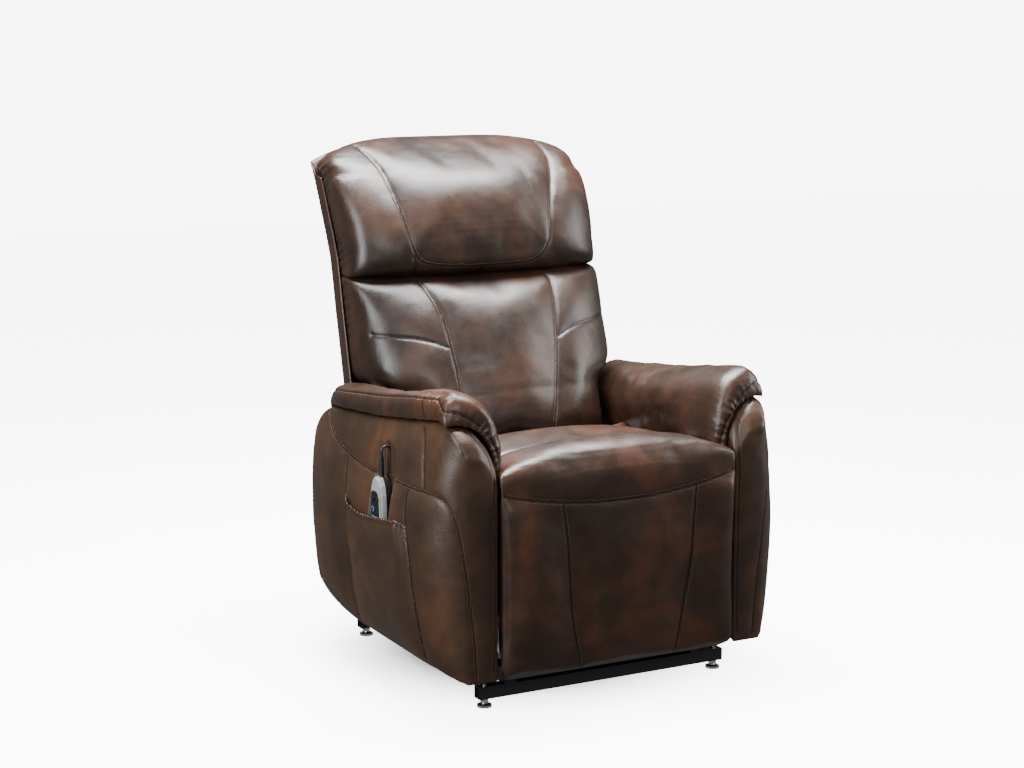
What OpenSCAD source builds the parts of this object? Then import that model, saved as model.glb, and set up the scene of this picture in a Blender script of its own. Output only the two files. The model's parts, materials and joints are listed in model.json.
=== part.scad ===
// Lift recliner chair: tilting base linkage, reclining back, scissor footrest and a
// handset in a side pocket. The chair faces -Y and stands on z = 0.

/* [Seat and footrest] */
// Distance between the inner faces of the two arms
arm_gap = 544; // [540:1:552]
// Height of the seat crown at the front
seat_top = 508; // [498:1:516]
// Height of the underside of the footrest pad
footrest_low = 64; // [56:1:74]
// Angle the footrest swings out to
footrest_angle = 80; // [60:1:80]

/* [Arms] */
// Greatest distance of an arm's outer side from the chair's middle
arm_outer = 410; // [404:1:418]
// Height of the arm's padded top above the arm's shoulder
arm_pad_rise = 50; // [40:1:56]
// How far the arm's outer lip stands proud of the side
arm_lip = 5; // [2:1:6]

/* [Back] */
// Half the width of the head cushion
head_half = 308; // [300:1:312]
// Height of the top of the back
back_top = 1078; // [1060:1:1090]

/* [Base] */
// Size of the square tube of the two floor bars
bar_size = 25; // [20:1:28]
// Half the length of the floor bars
bar_half = 285; // [275:1:290]
// Diameter of a levelling foot
foot_d = 30; // [24:1:36]
// Underside of the floor bars above the floor
bar_low = 18; // [16:1:22]

/* [Handset] */
// Length of the handset without its strain relief
handset_l = 156; // [140:1:170]
// Width of the handset
handset_w = 50; // [44:1:54]
// Diameter of the handset cord
cord_d = 5; // [4:0.5:6]

/* [Hidden] */
$fn = 48;

leather = "#4a2f24";
steel = "#25272a";
zinc = "#b9bcc0";
timber = "#c8a36c";
// The whole chair is moved back by this much, so that its box is centred on x = y = 0
home_y = 12.1;

// Pivots of the lift linkage, as [y, z]
rear_base_pivot = [-200, 94];
rear_chair_pivot = [200, 64];
front_base_pivot = [-236, 90];
front_chair_pivot = [20, 64];
lift_motor_pivot = [-250, 114];
lift_rod_pivot = [-108, 292];
torque_tube_at = [-60, 94];
// Pivots of the footrest linkage, as [y, z]; the leather hinges at the seam
seam_pivot = [-432, 430];
swing_pivot = [-263, 310];
drive_pivot = [-318, 345];
arm_drop = [60, -140];
stay_drop = [75, -205];
swing_end = swing_pivot + arm_drop;
drive_knee = drive_pivot + arm_drop;
drive_end = drive_pivot + stay_drop;
coupler_end = seam_pivot + arm_drop;
stay_end = seam_pivot + stay_drop;
foot_motor_pivot = [-60, 320];
foot_rod_pivot = [-299.7, 290];
// Pivots of the back, as [y, z]
back_hinge = [130, 405];
back_motor_pivot = [-103.3, 332];
back_rod_pivot = [185.3, 345];

pin_r = 6;
small_pin_r = 5;
play = 0.05;
// Planes of the plates, as distances from the middle
plate_x = 258;
plate_t = 5;
rear_link_x = 234;
front_link_x = 244;
link_t = 6;
rail_x = 205;
rail_out = 230;
arm_plane = 252;
coupler_plane = 247;
bracket_plane = 242;
strip_t = 4;
rail_top = bar_low + bar_size;
front_bar_y = -355;
rear_bar_y = 205;
foot_x = 269;
lift_motor_x = 0;
foot_motor_x = -90;
back_motor_x = 90;
eye_w = 24;
lug_t = 5;
tube_low = 357;
front_tube_y = -130;
rear_tube_y = -75;
tube_depth = 30;
tube_high = 374;
frame_low = 362;
frame_top = 392;
arm_in = arm_gap / 2;
handset_y = -172;
handset_low = 286;
handset_top = handset_low + handset_l;
handset_rear_x = -388;
handset_split_x = -403;
handset_front_x = -416;
pocket_out = -418.5;
pocket_low = 124;
pocket_top = 368;
pocket_front = -310;
pocket_rear = -30;

function pick(table, v) = lookup(v, table);

// Rear face of the back, y against z
rear_line = [[420, 201], [500, 223], [567, 241], [630, 256], [710, 276], [780, 291],
    [830, 303], [880, 326], [930, 351], [980, 376], [1030, 403], [1078, 429]];
function rear_y(z) = pick(rear_line, z);

// ---- shared shapes ----
module placed(c) {
    color(c) translate([0, home_y, 0]) children();
}

module yz_plate(x0, t) {
    translate([x0, 0, 0]) rotate([90, 0, 90]) linear_extrude(t) children();
}

module x_rod(p, r, x0, x1) {
    translate([x0, p[0], p[1]]) rotate([0, 90, 0]) cylinder(r = r, h = x1 - x0);
}

// Flat strap with round eyes from p to q, its near face at x0; the shank is a hair narrower
module strap(p, q, r, x0, t) {
    d = q - p;
    shank = r - 0.4;
    x_rod(p, r, x0, x0 + t);
    x_rod(q, r, x0, x0 + t);
    translate([x0, p[0], p[1]]) rotate([atan2(d[1], d[0]), 0, 0]) translate([0, 0, -shank])
        cube([t, norm(d), 2 * shank]);
}

module link(p, q, r, x0, t, hole_p, hole_q) {
    difference() {
        strap(p, q, r, x0, t);
        x_rod(p, hole_p, x0 - 1, x0 + t + 1);
        x_rod(q, hole_q, x0 - 1, x0 + t + 1);
    }
}

// Turns local +Z from p towards q in the YZ plane, at distance x from the middle
module along(x, p, q) {
    d = q - p;
    translate([x, p[0], p[1]]) rotate([-atan2(d[0], d[1]), 0, 0]) children();
}

module box(x0, x1, y0, y1, z0, z1) {
    translate([x0, y0, z0]) cube([x1 - x0, y1 - y0, z1 - z0]);
}

module mirrored() {
    mirror([1, 0, 0]) children();
}

// Closed skin over rings of points; the rings turn right-handed about their order
module loft(rings) {
    n = len(rings[0]);
    m = len(rings);
    first_mid = [for (k = [0:2]) ring_mean(rings[0], k)];
    last_mid = [for (k = [0:2]) ring_mean(rings[m - 1], k)];
    points = concat([for (ring = rings) each ring], [first_mid, last_mid]);
    sides = [for (i = [0:m - 2], j = [0:n - 1]) let (a = i * n + j, b = i * n + (j + 1) % n)
        each [[a, b + n, b], [a, a + n, b + n]]];
    start_cap = [for (j = [0:n - 1]) [m * n, j, (j + 1) % n]];
    end_cap = [for (j = [0:n - 1]) [m * n + 1, (m - 1) * n + (j + 1) % n, (m - 1) * n + j]];
    polyhedron(points, concat(sides, start_cap, end_cap), convexity = 8);
}

function ring_mean(ring, k) = sum([for (p = ring) p[k]]) / len(ring);
function sum(v, i = 0) = i >= len(v) ? 0 : v[i] + sum(v, i + 1);

// Closed skin over arched strips: each strip has k outer points, then k inner points back
module arch_loft(strips) {
    n = len(strips[0]);
    k = n / 2;
    m = len(strips);
    points = [for (strip = strips) each strip];
    last = (m - 1) * n;
    sides = [for (i = [0:m - 2], j = [0:n - 1]) let (a = i * n + j, b = i * n + (j + 1) % n)
        each [[a, b + n, b], [a, a + n, b + n]]];
    start_cap = [for (j = [0:k - 2]) each [[j, j + 1, n - 1 - j], [j + 1, n - 2 - j, n - 1 - j]]];
    end_cap = [for (j = [0:k - 2])
        each [[last + j, last + n - 1 - j, last + j + 1],
            [last + j + 1, last + n - 1 - j, last + n - 2 - j]]];
    polyhedron(points, concat(sides, start_cap, end_cap), convexity = 8);
}

// Tube along hand-placed points that lie in one plane y = const
module swept_tube(route, r, sides) {
    function direction(i) =
        let (a = route[max(i - 1, 0)], b = route[min(i + 1, len(route) - 1)]) (b - a) / norm(b - a);
    rings = [for (i = [0:len(route) - 1]) let (d = direction(i), side = [d[2], 0, -d[0]])
        [for (s = [0:sides - 1]) let (a = 360 * s / sides)
            route[i] + r * cos(a) * side + r * sin(a) * [0, 1, 0]]];
    loft([for (ring = rings) [for (s = [sides - 1:-1:0]) ring[s]]]);
}

// ---- base ----
module lift_motor_lugs() {
    for (x = [-eye_w / 2 - 0.5 - lug_t, eye_w / 2 + 0.5])
        difference() {
            union() {
                yz_plate(lift_motor_x + x, lug_t)
                    polygon([[front_bar_y + bar_size / 2, bar_low], [-242, 106], [-258, 122],
                        [front_bar_y + bar_size / 2, rail_top]]);
                x_rod(lift_motor_pivot, 12, lift_motor_x + x, lift_motor_x + x + lug_t);
            }
            x_rod(lift_motor_pivot, small_pin_r, -40, 40);
        }
}

module floor_bar(y) {
    difference() {
        box(-bar_half, bar_half, y - bar_size / 2, y + bar_size / 2, bar_low, rail_top);
        box(-bar_half - 1, bar_half + 1, y - bar_size / 2 + 2, y + bar_size / 2 - 2,
            bar_low + 2, rail_top - 2);
        for (x = [-foot_x, foot_x]) translate([x, y, bar_low - 1]) cylinder(r = 5, h = bar_size + 2);
    }
}

module base_front_bar() {
    placed(steel) {
        floor_bar(front_bar_y);
        lift_motor_lugs();
    }
}

module base_rear_bar() {
    placed(steel) floor_bar(rear_bar_y);
}

module base_rail() {
    rail_high = rail_top + 30;
    difference() {
        union() {
            box(rail_x, rail_out - 1, front_bar_y - bar_size / 2, rear_bar_y + bar_size / 2,
                rail_top, rail_high);
            yz_plate(rail_out - 8, 8) polygon([[-262, rail_top + 9], [-262, 98], [-250, 111],
                [-190, 114], [-176, 102], [-176, rail_top + 9]]);
        }
        x_rod(rear_base_pivot, pin_r, rail_out - 20, rail_out + 20);
        x_rod(front_base_pivot, pin_r, rail_out - 20, rail_out + 20);
    }
}

module base_left_rail() {
    placed(steel) base_rail();
}

module base_right_rail() {
    placed(steel) mirrored() base_rail();
}

module levelling_feet() {
    placed(zinc)
        for (x = [-foot_x, foot_x], y = [front_bar_y, rear_bar_y]) translate([x, y, 0]) {
            cylinder(r = foot_d / 2, h = 5);
            translate([0, 0, 5]) cylinder(r1 = foot_d / 2, r2 = 9, h = 3);
            cylinder(r = 5, h = rail_top + 4);
            translate([0, 0, 10]) cylinder(r = 9, h = bar_low - 10, $fn = 6);
        }
}

module base_pivot_bolt(p, link_out) {
    x_rod(p, pin_r, rail_out - 8, link_out + 0.3);
    x_rod(p, 10, rail_out - 16, rail_out - 8);
    x_rod(p, 10, link_out + 0.3, link_out + 3);
}

module base_bolt_pair() {
    base_pivot_bolt(rear_base_pivot, rear_link_x + link_t);
    base_pivot_bolt(front_base_pivot, front_link_x + link_t);
    x_rod(front_base_pivot, 9, rail_out, front_link_x - 0.4);
    x_rod(rear_base_pivot, 9, rail_out, rear_link_x - 0.4);
}

module base_pivot_bolts() {
    placed(zinc) {
        base_bolt_pair();
        mirrored() base_bolt_pair();
        x_rod(lift_motor_pivot, small_pin_r, -20, 20);
        x_rod(lift_motor_pivot, 8, -20.5, -17.5);
        x_rod(lift_motor_pivot, 8, 17.5, 20.5);
    }
}

module power_supply() {
    depth = 74;
    y0 = rear_bar_y + bar_size / 2 - depth;
    placed("#1c1d1f") difference() {
        union() {
            box(-62, 62, y0, y0 + depth, rail_top, rail_top + 38);
            for (i = [-5:5]) box(i * 10 - 2, i * 10 + 2, y0 + 8, y0 + depth - 14,
                rail_top + 38, rail_top + 39.5);
        }
        // inlet recess, with its two blades left standing
        difference() {
            translate([-30, y0 + depth - 12, rail_top + 12]) cube([24, 13, 14]);
            for (x = [-23, -13]) translate([x - 1, y0 + depth - 13, rail_top + 17])
                cube([2, 10, 4]);
        }
    }
}

// ---- lift linkage ----
module lift_link() {
    link(rear_base_pivot, rear_chair_pivot, 18, rear_link_x, link_t, pin_r + play, pin_r + play);
}

module lift_link_left() {
    placed(steel) lift_link();
}

module lift_link_right() {
    placed(steel) mirrored() lift_link();
}

module lift_torque_tube() {
    placed(steel) difference() {
        x_rod(torque_tube_at, 12.5, -rear_link_x, rear_link_x);
        x_rod(torque_tube_at, 10.5, -rear_link_x - 1, rear_link_x + 1);
    }
}

// The chair end is the linkage's open pivot, so its hole is a little large
module front_link() {
    link(front_base_pivot, front_chair_pivot, 17, front_link_x, link_t, pin_r + play, pin_r + 0.6);
}

module front_link_left() {
    placed(steel) front_link();
}

module front_link_right() {
    placed(steel) mirrored() front_link();
}

// ---- mechanism under the seat ----
module mechanism_rail() {
    difference() {
        union() {
            yz_plate(plate_x, plate_t)
                polygon([[-342, 318], [-342, frame_top], [152, frame_top], [210, 300], [214, 64],
                    [202, 51], [18, 51], [6, 64], [-60, 230], [-180, 255], [-300, 290]]);
            for (p = [rear_chair_pivot, front_chair_pivot, back_hinge])
                x_rod(p, 18, plate_x, plate_x + plate_t);
        }
        for (p = [rear_chair_pivot, front_chair_pivot, back_hinge, drive_pivot, swing_pivot])
            x_rod(p, pin_r, plate_x - 1, plate_x + plate_t + 1);
        for (p = [[110, 130], [60, 240], [150, 240], [-60, 305], [40, 335], [-180, 320]])
            x_rod(p, p[1] > 300 ? 24 : 34, plate_x - 1, plate_x + plate_t + 1);
        for (p = arm_bolts) x_rod(p, 4, plate_x - 1, plate_x + plate_t + 1);
    }
}

arm_bolts = [[-250, 365], [90, 365], [190, 180]];

module mechanism_left_rail() {
    placed(steel) mechanism_rail();
}

module mechanism_right_rail() {
    placed(steel) mirrored() mechanism_rail();
}

module cross_tube(y) {
    difference() {
        box(-plate_x, plate_x, y, y + tube_depth, tube_low, tube_high);
        box(-plate_x - 1, plate_x + 1, y + 2, y + tube_depth - 2, tube_low + 2, tube_high - 2);
    }
}

// Two ears that hang from the tube at y and hold a motor or rod pin
module clevis(x, y, p, hole) {
    for (side = [-eye_w / 2 - 0.5 - lug_t, eye_w / 2 + 0.5])
        difference() {
            union() {
                yz_plate(x + side, lug_t)
                    polygon([[y, tube_low], [y + tube_depth, tube_low], [p[0] + 12, p[1]],
                        [p[0] - 12, p[1]]]);
                x_rod(p, 12, x + side, x + side + lug_t);
            }
            x_rod(p, hole, x - 40, x + 40);
        }
}

module front_cross_tube() {
    placed(steel) {
        cross_tube(front_tube_y);
        clevis(lift_motor_x, front_tube_y, lift_rod_pivot, small_pin_r + 0.4);
        clevis(back_motor_x, front_tube_y, back_motor_pivot, small_pin_r);
    }
}

module rear_cross_tube() {
    placed(steel) {
        cross_tube(rear_tube_y);
        clevis(foot_motor_x, rear_tube_y, foot_motor_pivot, small_pin_r);
    }
}

module headed_pin(p, r, head_r, x0, x1, head) {
    x_rod(p, r, x0, x1);
    x_rod(p, head_r, x0 - head, x0);
    x_rod(p, head_r, x1, x1 + head);
}

module chair_bolt_side() {
    plate_out = plate_x + plate_t;
    headed_pin(rear_chair_pivot, pin_r, 9, rear_link_x - 0.3, plate_out, 2.8);
    x_rod(rear_chair_pivot, 9, rear_link_x + link_t + 0.4, plate_x);
    headed_pin(front_chair_pivot, pin_r, 9, front_link_x - 0.3, plate_out, 2.8);
    x_rod(front_chair_pivot, 9, front_link_x + link_t + 0.4, plate_x);
    headed_pin(swing_pivot, pin_r, 8, arm_plane - 0.3, plate_out, 2.2);
    headed_pin(drive_pivot, pin_r, 8.5, arm_plane - 7, plate_out, 3);
    headed_pin(back_hinge, pin_r, 9, 243, plate_out, 3);
    for (p = arm_bolts) {
        x_rod(p, 4, plate_x - 5, arm_in + 46);
        x_rod(p, 7, plate_x - 4, plate_x);
        x_rod(p, 7, plate_out, arm_in);
    }
}

module chair_pivot_bolts() {
    placed(zinc) {
        chair_bolt_side();
        mirrored() chair_bolt_side();
        for (m = [[foot_motor_x, foot_motor_pivot], [back_motor_x, back_motor_pivot]])
            headed_pin(m[1], small_pin_r, 8, m[0] - 17.5, m[0] + 17.5, 3);
    }
}

module seat_frame() {
    rail = 32;
    placed(timber) difference() {
        union() {
            box(-plate_x, plate_x, -372, 112, frame_low, frame_top);
            box(-226, 226, -372, -344, 350, frame_top);
        }
        box(-plate_x + rail, plate_x - rail, -344, 82, frame_low - 20, frame_top + 1);
        // notches over the cross tubes, and room for the arm bolts' heads
        for (y = [front_tube_y, rear_tube_y])
            box(-plate_x - 1, plate_x + 1, y - 0.5, y + tube_depth + 0.5, tube_low - 5, tube_high + 0.5);
        for (p = arm_bolts) {
            x_rod(p, 7.5, plate_x - 6, plate_x + 1);
            x_rod(p, 7.5, -plate_x - 1, -plate_x + 6);
        }
    }
}

// Zigzag wires from the front rail to the rear rail
module zigzag_wire(x) {
    runs = 12;
    pitch = 426 / runs;
    reach = 11;
    wire_r = 2;
    z = frame_top - 5;
    translate([x, -344, z]) {
        for (i = [0:runs - 1]) {
            translate([-reach, pitch * (i + 0.5), 0]) rotate([0, 90, 0])
                cylinder(r = wire_r, h = 2 * reach);
            if (i < runs - 1) translate([i % 2 == 0 ? reach : -reach, pitch * (i + 1), 0])
                rotate([0, 0, i % 2 == 0 ? -90 : 90])
                    rotate_extrude(angle = 180) translate([pitch / 2, 0]) circle(wire_r);
        }
        // tails into the rails
        for (y = [0, pitch * (runs - 0.5)]) translate([-reach, y, 0]) rotate([-90, 0, 0])
            cylinder(r = wire_r, h = pitch / 2);
    }
}

module seat_springs() {
    placed(zinc) for (x = [-165, -55, 55, 165]) zigzag_wire(x);
}

// ---- seat cushion ----
seat_half = 249;
seat_front_half = 268;
// y, half width, top, bottom of each section
seat_sections = [
    [-440, 250, 480, 452], [-438, 258, 489, 443], [-431, 264, 498, 436], [-420, 267, 503, 433],
    [-413, 268, 505, 432], [-403, 252, 507, 432], [-395, seat_half, 508, 432],
    [-385, seat_half, 509, 432], [-373, seat_half, 510, 393], [-340, seat_half, 510, 392.5],
    [-310, seat_half, 508, 392.5], [-292, seat_half, 502, 392.5], [-283, seat_half, 498, 392.5],
    [-274, seat_half, 502, 392.5], [-250, seat_half, 507, 392.5], [-200, seat_half, 506, 392.5],
    [-140, seat_half, 500, 392.5], [-90, seat_half, 493, 392.5], [-62, 246, 482, 392.5],
    [-52, 238, 466, 396]
];
seat_profile = [
    [0, 0, 0], [0.3, 1.5, 0], [0.58, 6, 0], [0.8, 13, 0], [0.92, 21, 0], [0.98, 30, 0],
    [1, 40, 0.35], [1, 40, 0.75], [0.985, 0, 1], [0.6, 0, 1], [0.2, 0, 1]
];

// One side of a section, from the top middle round to the bottom middle
function seat_half_ring(s) = let (drop = seat_top - 508)
    [for (p = seat_profile) [s[1] * p[0], p[2] == 0 ? s[2] + drop - p[1] * (s[2] - s[3]) / 116
        : p[2] == 1 ? s[3] : s[2] + drop - p[1] * (s[2] - s[3]) / 116
            - p[2] * (s[2] - s[3]) * 0.6]];
function seat_ring(s) = let (half = seat_half_ring(s), k = len(half))
    concat([for (p = half) [p[0], s[0], p[1]]],
        [for (i = [k - 1:-1:1]) [-half[i][0], s[0], half[i][1]]]);

module seat_cushion() {
    placed(leather) loft([for (s = seat_sections) seat_ring(s)]);
}

// ---- arms ----
shoulder_line = [[-424, 515], [-412, 545], [-390, 566], [-346, 578], [-235, 565], [-95, 549],
    [29, 541], [147, 532], [180, 518], [207, 501], [245, 462], [258, 448], [265, 420]];
underside_line = [[-424, 70], [-395, 80], [-350, 90], [-200, 94], [0, 98], [63, 105],
    [141, 121], [210, 140], [226, 154], [235, 206], [253, 310], [265, 400]];
function shoulder(y) = pick(shoulder_line, y);
function underside(y) = pick(underside_line, y);
function side_x(z) = z < 320 ? arm_outer - 26 * pow((320 - z) / 222, 2)
    : arm_outer - 44 * pow((z - 320) / 246, 2);
// Rounds the outer corner at the front and rear ends
function corner(y) = y < -298 ? sqrt(max(0.02, 1 - pow((-298 - y) / 126, 2)))
    : y > 40 ? sqrt(max(0.05, 1 - pow((y - 40) / 245, 2))) : 1;
function pulled_in(x, y) = let (flat = arm_in + 62) x <= flat ? x : flat + (x - flat) * corner(y);
function arm_ring(y) = let (zt = shoulder(y), zb = underside(y), xi = arm_in, h = zt - zb,
    r = min(80, h * 0.45), w = 62) concat(
    [[xi, zb + h * 0.03], [xi, zb + h * 0.4], [xi, zt - r]],
    [for (a = [160, 135, 112, 90]) [xi + w + w * cos(a), zt - r + r * sin(a)]],
    [[xi + 70, zt], [side_x(zt) - 12, zt - 1], [side_x(zt - 8), zt - 8]],
    [for (k = [0.86, 0.72, 0.58, 0.44, 0.3, 0.17, 0.06]) [side_x(zb + h * k), zb + h * k]],
    [[side_x(zb) - 8, zb], [xi + 40, zb - 0], [xi + 8, zb]]);
arm_stations = [-424, -421, -412, -398, -375, -346, -300, -235, -165, -95, -30, 29, 90, 147,
    180, 207, 226, 235, 245, 258, 265];

module arm_body() {
    loft([for (y = arm_stations) [for (p = arm_ring(y)) [pulled_in(p[0], y), y, p[1]]]]);
}

module arm_boards() {
    box(300, 318, -385, 198, 142, 456);
    box(300, 368, -340, 140, 456, 474);
}

module arm_cover() {
    difference() {
        arm_body();
        arm_boards();
        for (p = arm_bolts) {
            x_rod(p, 4.4, arm_in - 4, arm_in + 47);
        }
    }
}

module arm_frame() {
    difference() {
        arm_boards();
        for (p = arm_bolts) x_rod(p, 4, 295, 330);
    }
}

module left_arm_frame() {
    placed(timber) arm_frame();
}

module right_arm_frame() {
    placed(timber) mirrored() arm_frame();
}

module left_arm_cover() {
    placed(leather) arm_cover();
}

module right_arm_cover() {
    placed(leather) difference() {
        mirrored() arm_cover();
        // hollow that the pocket covers, and the way up for the handset
        box(-470, handset_rear_x + 1, pocket_front, pocket_rear, pocket_low - 4, 402);
        box(-470, handset_rear_x + 1, handset_y - 34, handset_y + 34, 400, 600);
        // groove and hole for the handset cord
        box(handset_rear_x - 11, handset_rear_x + 11, handset_y - 6, handset_y + 6, 292, 600);
        translate([cord_x, handset_y, 120]) cylinder(r = cord_d / 2 + 1, h = 180, $fn = 16);
    }
}

// Pad over the shoulder: inner drape, crown and outer lip, as [inner point, outer point]
function pad_pairs(y, t) = let (zt = shoulder(y) + 0.5, xi = arm_in - 0.5, r = 80, w = 62.5,
    lip = side_x(zt), up = arm_pad_rise, low = min(457, zt - 106))
    concat(
        [for (p = [[low, 12, -3], [(low + zt - 82) / 2, 19, 0], [zt - 82, 21, 1]])
            [[xi, p[0]], [xi - p[1] * t, p[0] + p[2]]]],
        [for (p = [[160, 24], [135, 34], [112, 44], [90, 50]]) let (c = cos(p[0]), s = sin(p[0]),
            rise = p[1] * t * up / 50)
            [[xi + w + w * c, zt - r + r * s], [xi + w + w * c + rise * c, zt - r + r * s + rise * s]]],
        [[[xi + 68, zt], [xi + 68, zt + 50 * t * up / 50]],
            [[lip - 15, zt], [lip - 12, zt + 45 * t * up / 50]],
            [[lip - 6, zt], [lip - 1, zt + 34 * t]],
            [[lip + arm_lip - 2, zt + 1], [lip + arm_lip, zt + 5 + 15 * t]]]);
// Rounds the pad's outer corner at the rear
function pad_rear(y) = y > 50 ? sqrt(max(0.05, 1 - pow((y - 50) / 160, 2))) : 1;
function pad_in(x, y) = let (flat = arm_in + 48) x <= flat ? x : flat + (x - flat) * pad_rear(y);
// The front edge runs forwards towards the inner side, and rises where the shoulder does
function pad_point(p, y) = let (w = max(0, min(1, (-280 - y) / 96)),
    y_front = y - 0.17 * (362 - p[0]) * w)
    [pad_in(p[0], y) - w, y_front, p[1] + max(0, shoulder(y_front) - shoulder(y)) + 2 * w];
function pad_strip(s) = let (pairs = pad_pairs(s[0], s[1]))
    concat([for (q = pairs) pad_point(q[1], s[0])],
        [for (i = [len(pairs) - 1:-1:0]) pad_point(pairs[i][0], s[0])]);
pad_stations = [[-376, 0.62], [-371, 0.8], [-362, 0.94], [-346, 1.02], [-318, 1.06], [-235, 1.12],
    [-165, 1.11], [-95, 1.05], [-30, 0.99], [29, 0.94], [90, 0.9], [130, 0.84], [147, 0.78],
    [180, 0.7], [203, 0.5]];

module arm_pad() {
    arch_loft([for (s = pad_stations) pad_strip(s)]);
}

module left_arm_pad() {
    placed(leather) arm_pad();
}

module right_arm_pad() {
    placed(leather) mirrored() arm_pad();
}

// ---- covers and boxes under the chair ----
module rear_panel() {
    placed("#1f1b1a") box(-arm_in + 0.5, arm_in - 0.5, 222, 230, 96, 395);
}

module control_box() {
    placed("#1c1d1f") {
        box(-150, -50, 60, 112, frame_low - 30, frame_low);
        for (x = [-135, -110, -85]) translate([x, 60, frame_low - 15]) rotate([90, 0, 0])
            cylinder(r = 7, h = 6);
    }
}

module handset_pocket() {
    skin = 2;
    in_x = handset_rear_x + 1;
    placed(leather) difference() {
        box(pocket_out, in_x, pocket_front + 0.5, pocket_rear - 0.5, pocket_low, pocket_top);
        box(pocket_out + skin, in_x + 1, pocket_front + skin, pocket_rear - skin,
            pocket_low + skin, pocket_top + 1);
    }
}

// ---- back ----
frame_zs = [432, 500, 567, 630, 640];
wide_zs = [616, 630, 710, 780, 830, 880, 930, 980, 1000];
function band(zs, front, rear) = concat([for (z = zs) [rear_y(z) - front, z]],
    [for (i = [len(zs) - 1:-1:0]) [rear_y(zs[i]) - rear, zs[i]]]);

module back_frame() {
    placed(timber) difference() {
        union() {
            yz_plate(-246, 492) polygon(band(frame_zs, 34, 14));
            yz_plate(-288, 576) polygon(band(wide_zs, 34, 14));
        }
        for (z = [520, 700, 820, 930], x = [-150, -50, 50, 150])
            translate([x, 0, z]) rotate([-90, 0, 0]) cylinder(r = 32, h = 500);
    }
}

module back_side_bracket() {
    difference() {
        union() {
            x_rod(back_hinge, 16, 247, 253);
            yz_plate(247.2, 5.6)
                polygon([[115, 409], [123, 448], [196, 550], [217, 541], [171, 465],
                    [rear_y(464) - 12.5, 464], [rear_y(438) - 12.5, 438], [154, 438], [145, 401]]);
        }
        x_rod(back_hinge, pin_r + play, 240, 260);
    }
}

// Ears for the back motor's rod, with a short slot along which its pin rides
module back_lugs() {
    slot_dir = [cos(-23.4), sin(-23.4)];
    slot_a = back_rod_pivot - 0.8 * slot_dir;
    slot_b = back_rod_pivot + 8.3 * slot_dir;
    for (side = [-eye_w / 2 - 0.5 - lug_t, eye_w / 2 + 0.5])
        difference() {
            yz_plate(back_motor_x + side, lug_t)
                polygon([[rear_y(439) - 12.5, 439], [rear_y(458) - 12.5, 458],
                    [rear_y(430) - 3, 430], [209, 356], [206.5, 338], [200, 329.5], [188, 327],
                    [177, 331.5], [171, 340], [171.5, 352], [180, 400]]);
            strap(slot_a, slot_b, small_pin_r + 0.6, back_motor_x + side - 1, lug_t + 2);
        }
}

module back_brackets() {
    placed(steel) {
        back_side_bracket();
        mirrored() back_side_bracket();
        back_lugs();
        // strap behind the bottom rail joins the two side brackets
        yz_plate(-253, 506) polygon(band([436, 466], 14, 11));
    }
}

module outside_back() {
    zs = [476, 500, 567, 630, 710, 780, 830, 880, 930, 980, 1030, 1040];
    placed(leather) intersection() {
        yz_plate(-305, 610) polygon(band(zs, 11.5, 0));
        translate([0, 500, 0]) rotate([90, 0, 0]) linear_extrude(500) polygon([
            [-244, 470], [244, 470], [244, 612], [300, 612], [300, 1022], [294, 1031], [274, 1040],
            [-274, 1040], [-294, 1031], [-300, 1022], [-300, 612], [-244, 612]]);
    }
}

// Outline of one level of a back cushion: half width at the front and at the rear, front
// face, rear face and depth of the rounded side
function cushion_ring(z, w_front, w_rear, yf, yr, edge) = let (n = 28)
    [for (i = [0:n - 1]) let (a = 360 * i / n, c = cos(a), k = sin(a),
        y = k >= 0 ? min(yr, yr - edge + edge * 2.2 * k) : yr - edge - (yr - edge - yf) * pow(abs(k), 0.8),
        w = w_front + (w_rear - w_front) * (y - yf) / (yr - yf))
        [w * sign(c) * pow(abs(c), 0.65), y, z]];

// z, half width at the front and at the rear, front y, depth of the side edge
lumbar_levels = [
    [434, 226, 226, -18, 30], [438, 238, 238, -34, 44], [450, 245, 244, -42, 60],
    [480, 246, 244, -40, 76], [520, 246, 244, -27, 80], [560, 246, 244, -8, 82],
    [578, 246, 244, 2, 82], [587, 260, 266, 8, 80], [594, 274, 294, 12, 78],
    [610, 278, 300, 20, 76], [655, 280, 300, 46, 76], [690, 283, 300, 66, 74],
    [725, 288, 300, 90, 72], [755, 294, 300, 115, 66], [772, 301, 300, 136, 58],
    [783, 302, 298, 158, 48], [788, 296, 292, 178, 36]
];

module lumbar_cushion() {
    placed(leather) loft([for (s = lumbar_levels)
        cushion_ring(s[0], s[1], s[2], s[3], rear_y(s[0]) - 35, s[4])]);
}

// z, half width at the front and at the rear, front y, depth of the side edge, gap to the
// rear face
head_levels = [
    [798, 296, 292, 180, 36, 35], [803, 302, 298, 158, 46, 35], [816, 296, 300, 138, 54, 35],
    [830, 291, 300, 133, 62, 35], [855, 290, 300, 134, 68, 35], [880, 294, 300, 141, 72, 35],
    [930, 303, 300, 166, 74, 35], [980, 308, 300, 204, 72, 35], [1001, 305, 300, 224, 70, 35],
    [1004, 304, 299, 227, 80, 12], [1025, 300, 297, 252, 76, 12], [1041, 300, 270, 276, 66, 12],
    [1043, 300, 266, 279, 66, 3], [1058, 292, 212, 304, 52, 4], [1070, 258, 150, 330, 36, 9],
    [1077, 200, 90, 352, 20, 16]
];

module head_cushion() {
    lift = back_top - 1078;
    scale_w = head_half / 308;
    placed(leather) loft([for (s = head_levels)
        cushion_ring(s[0] + (s[0] > 1050 ? lift : 0), s[1] * scale_w, s[2] * scale_w, s[3],
            rear_y(s[0]) - s[5], s[4])]);
}

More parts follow.
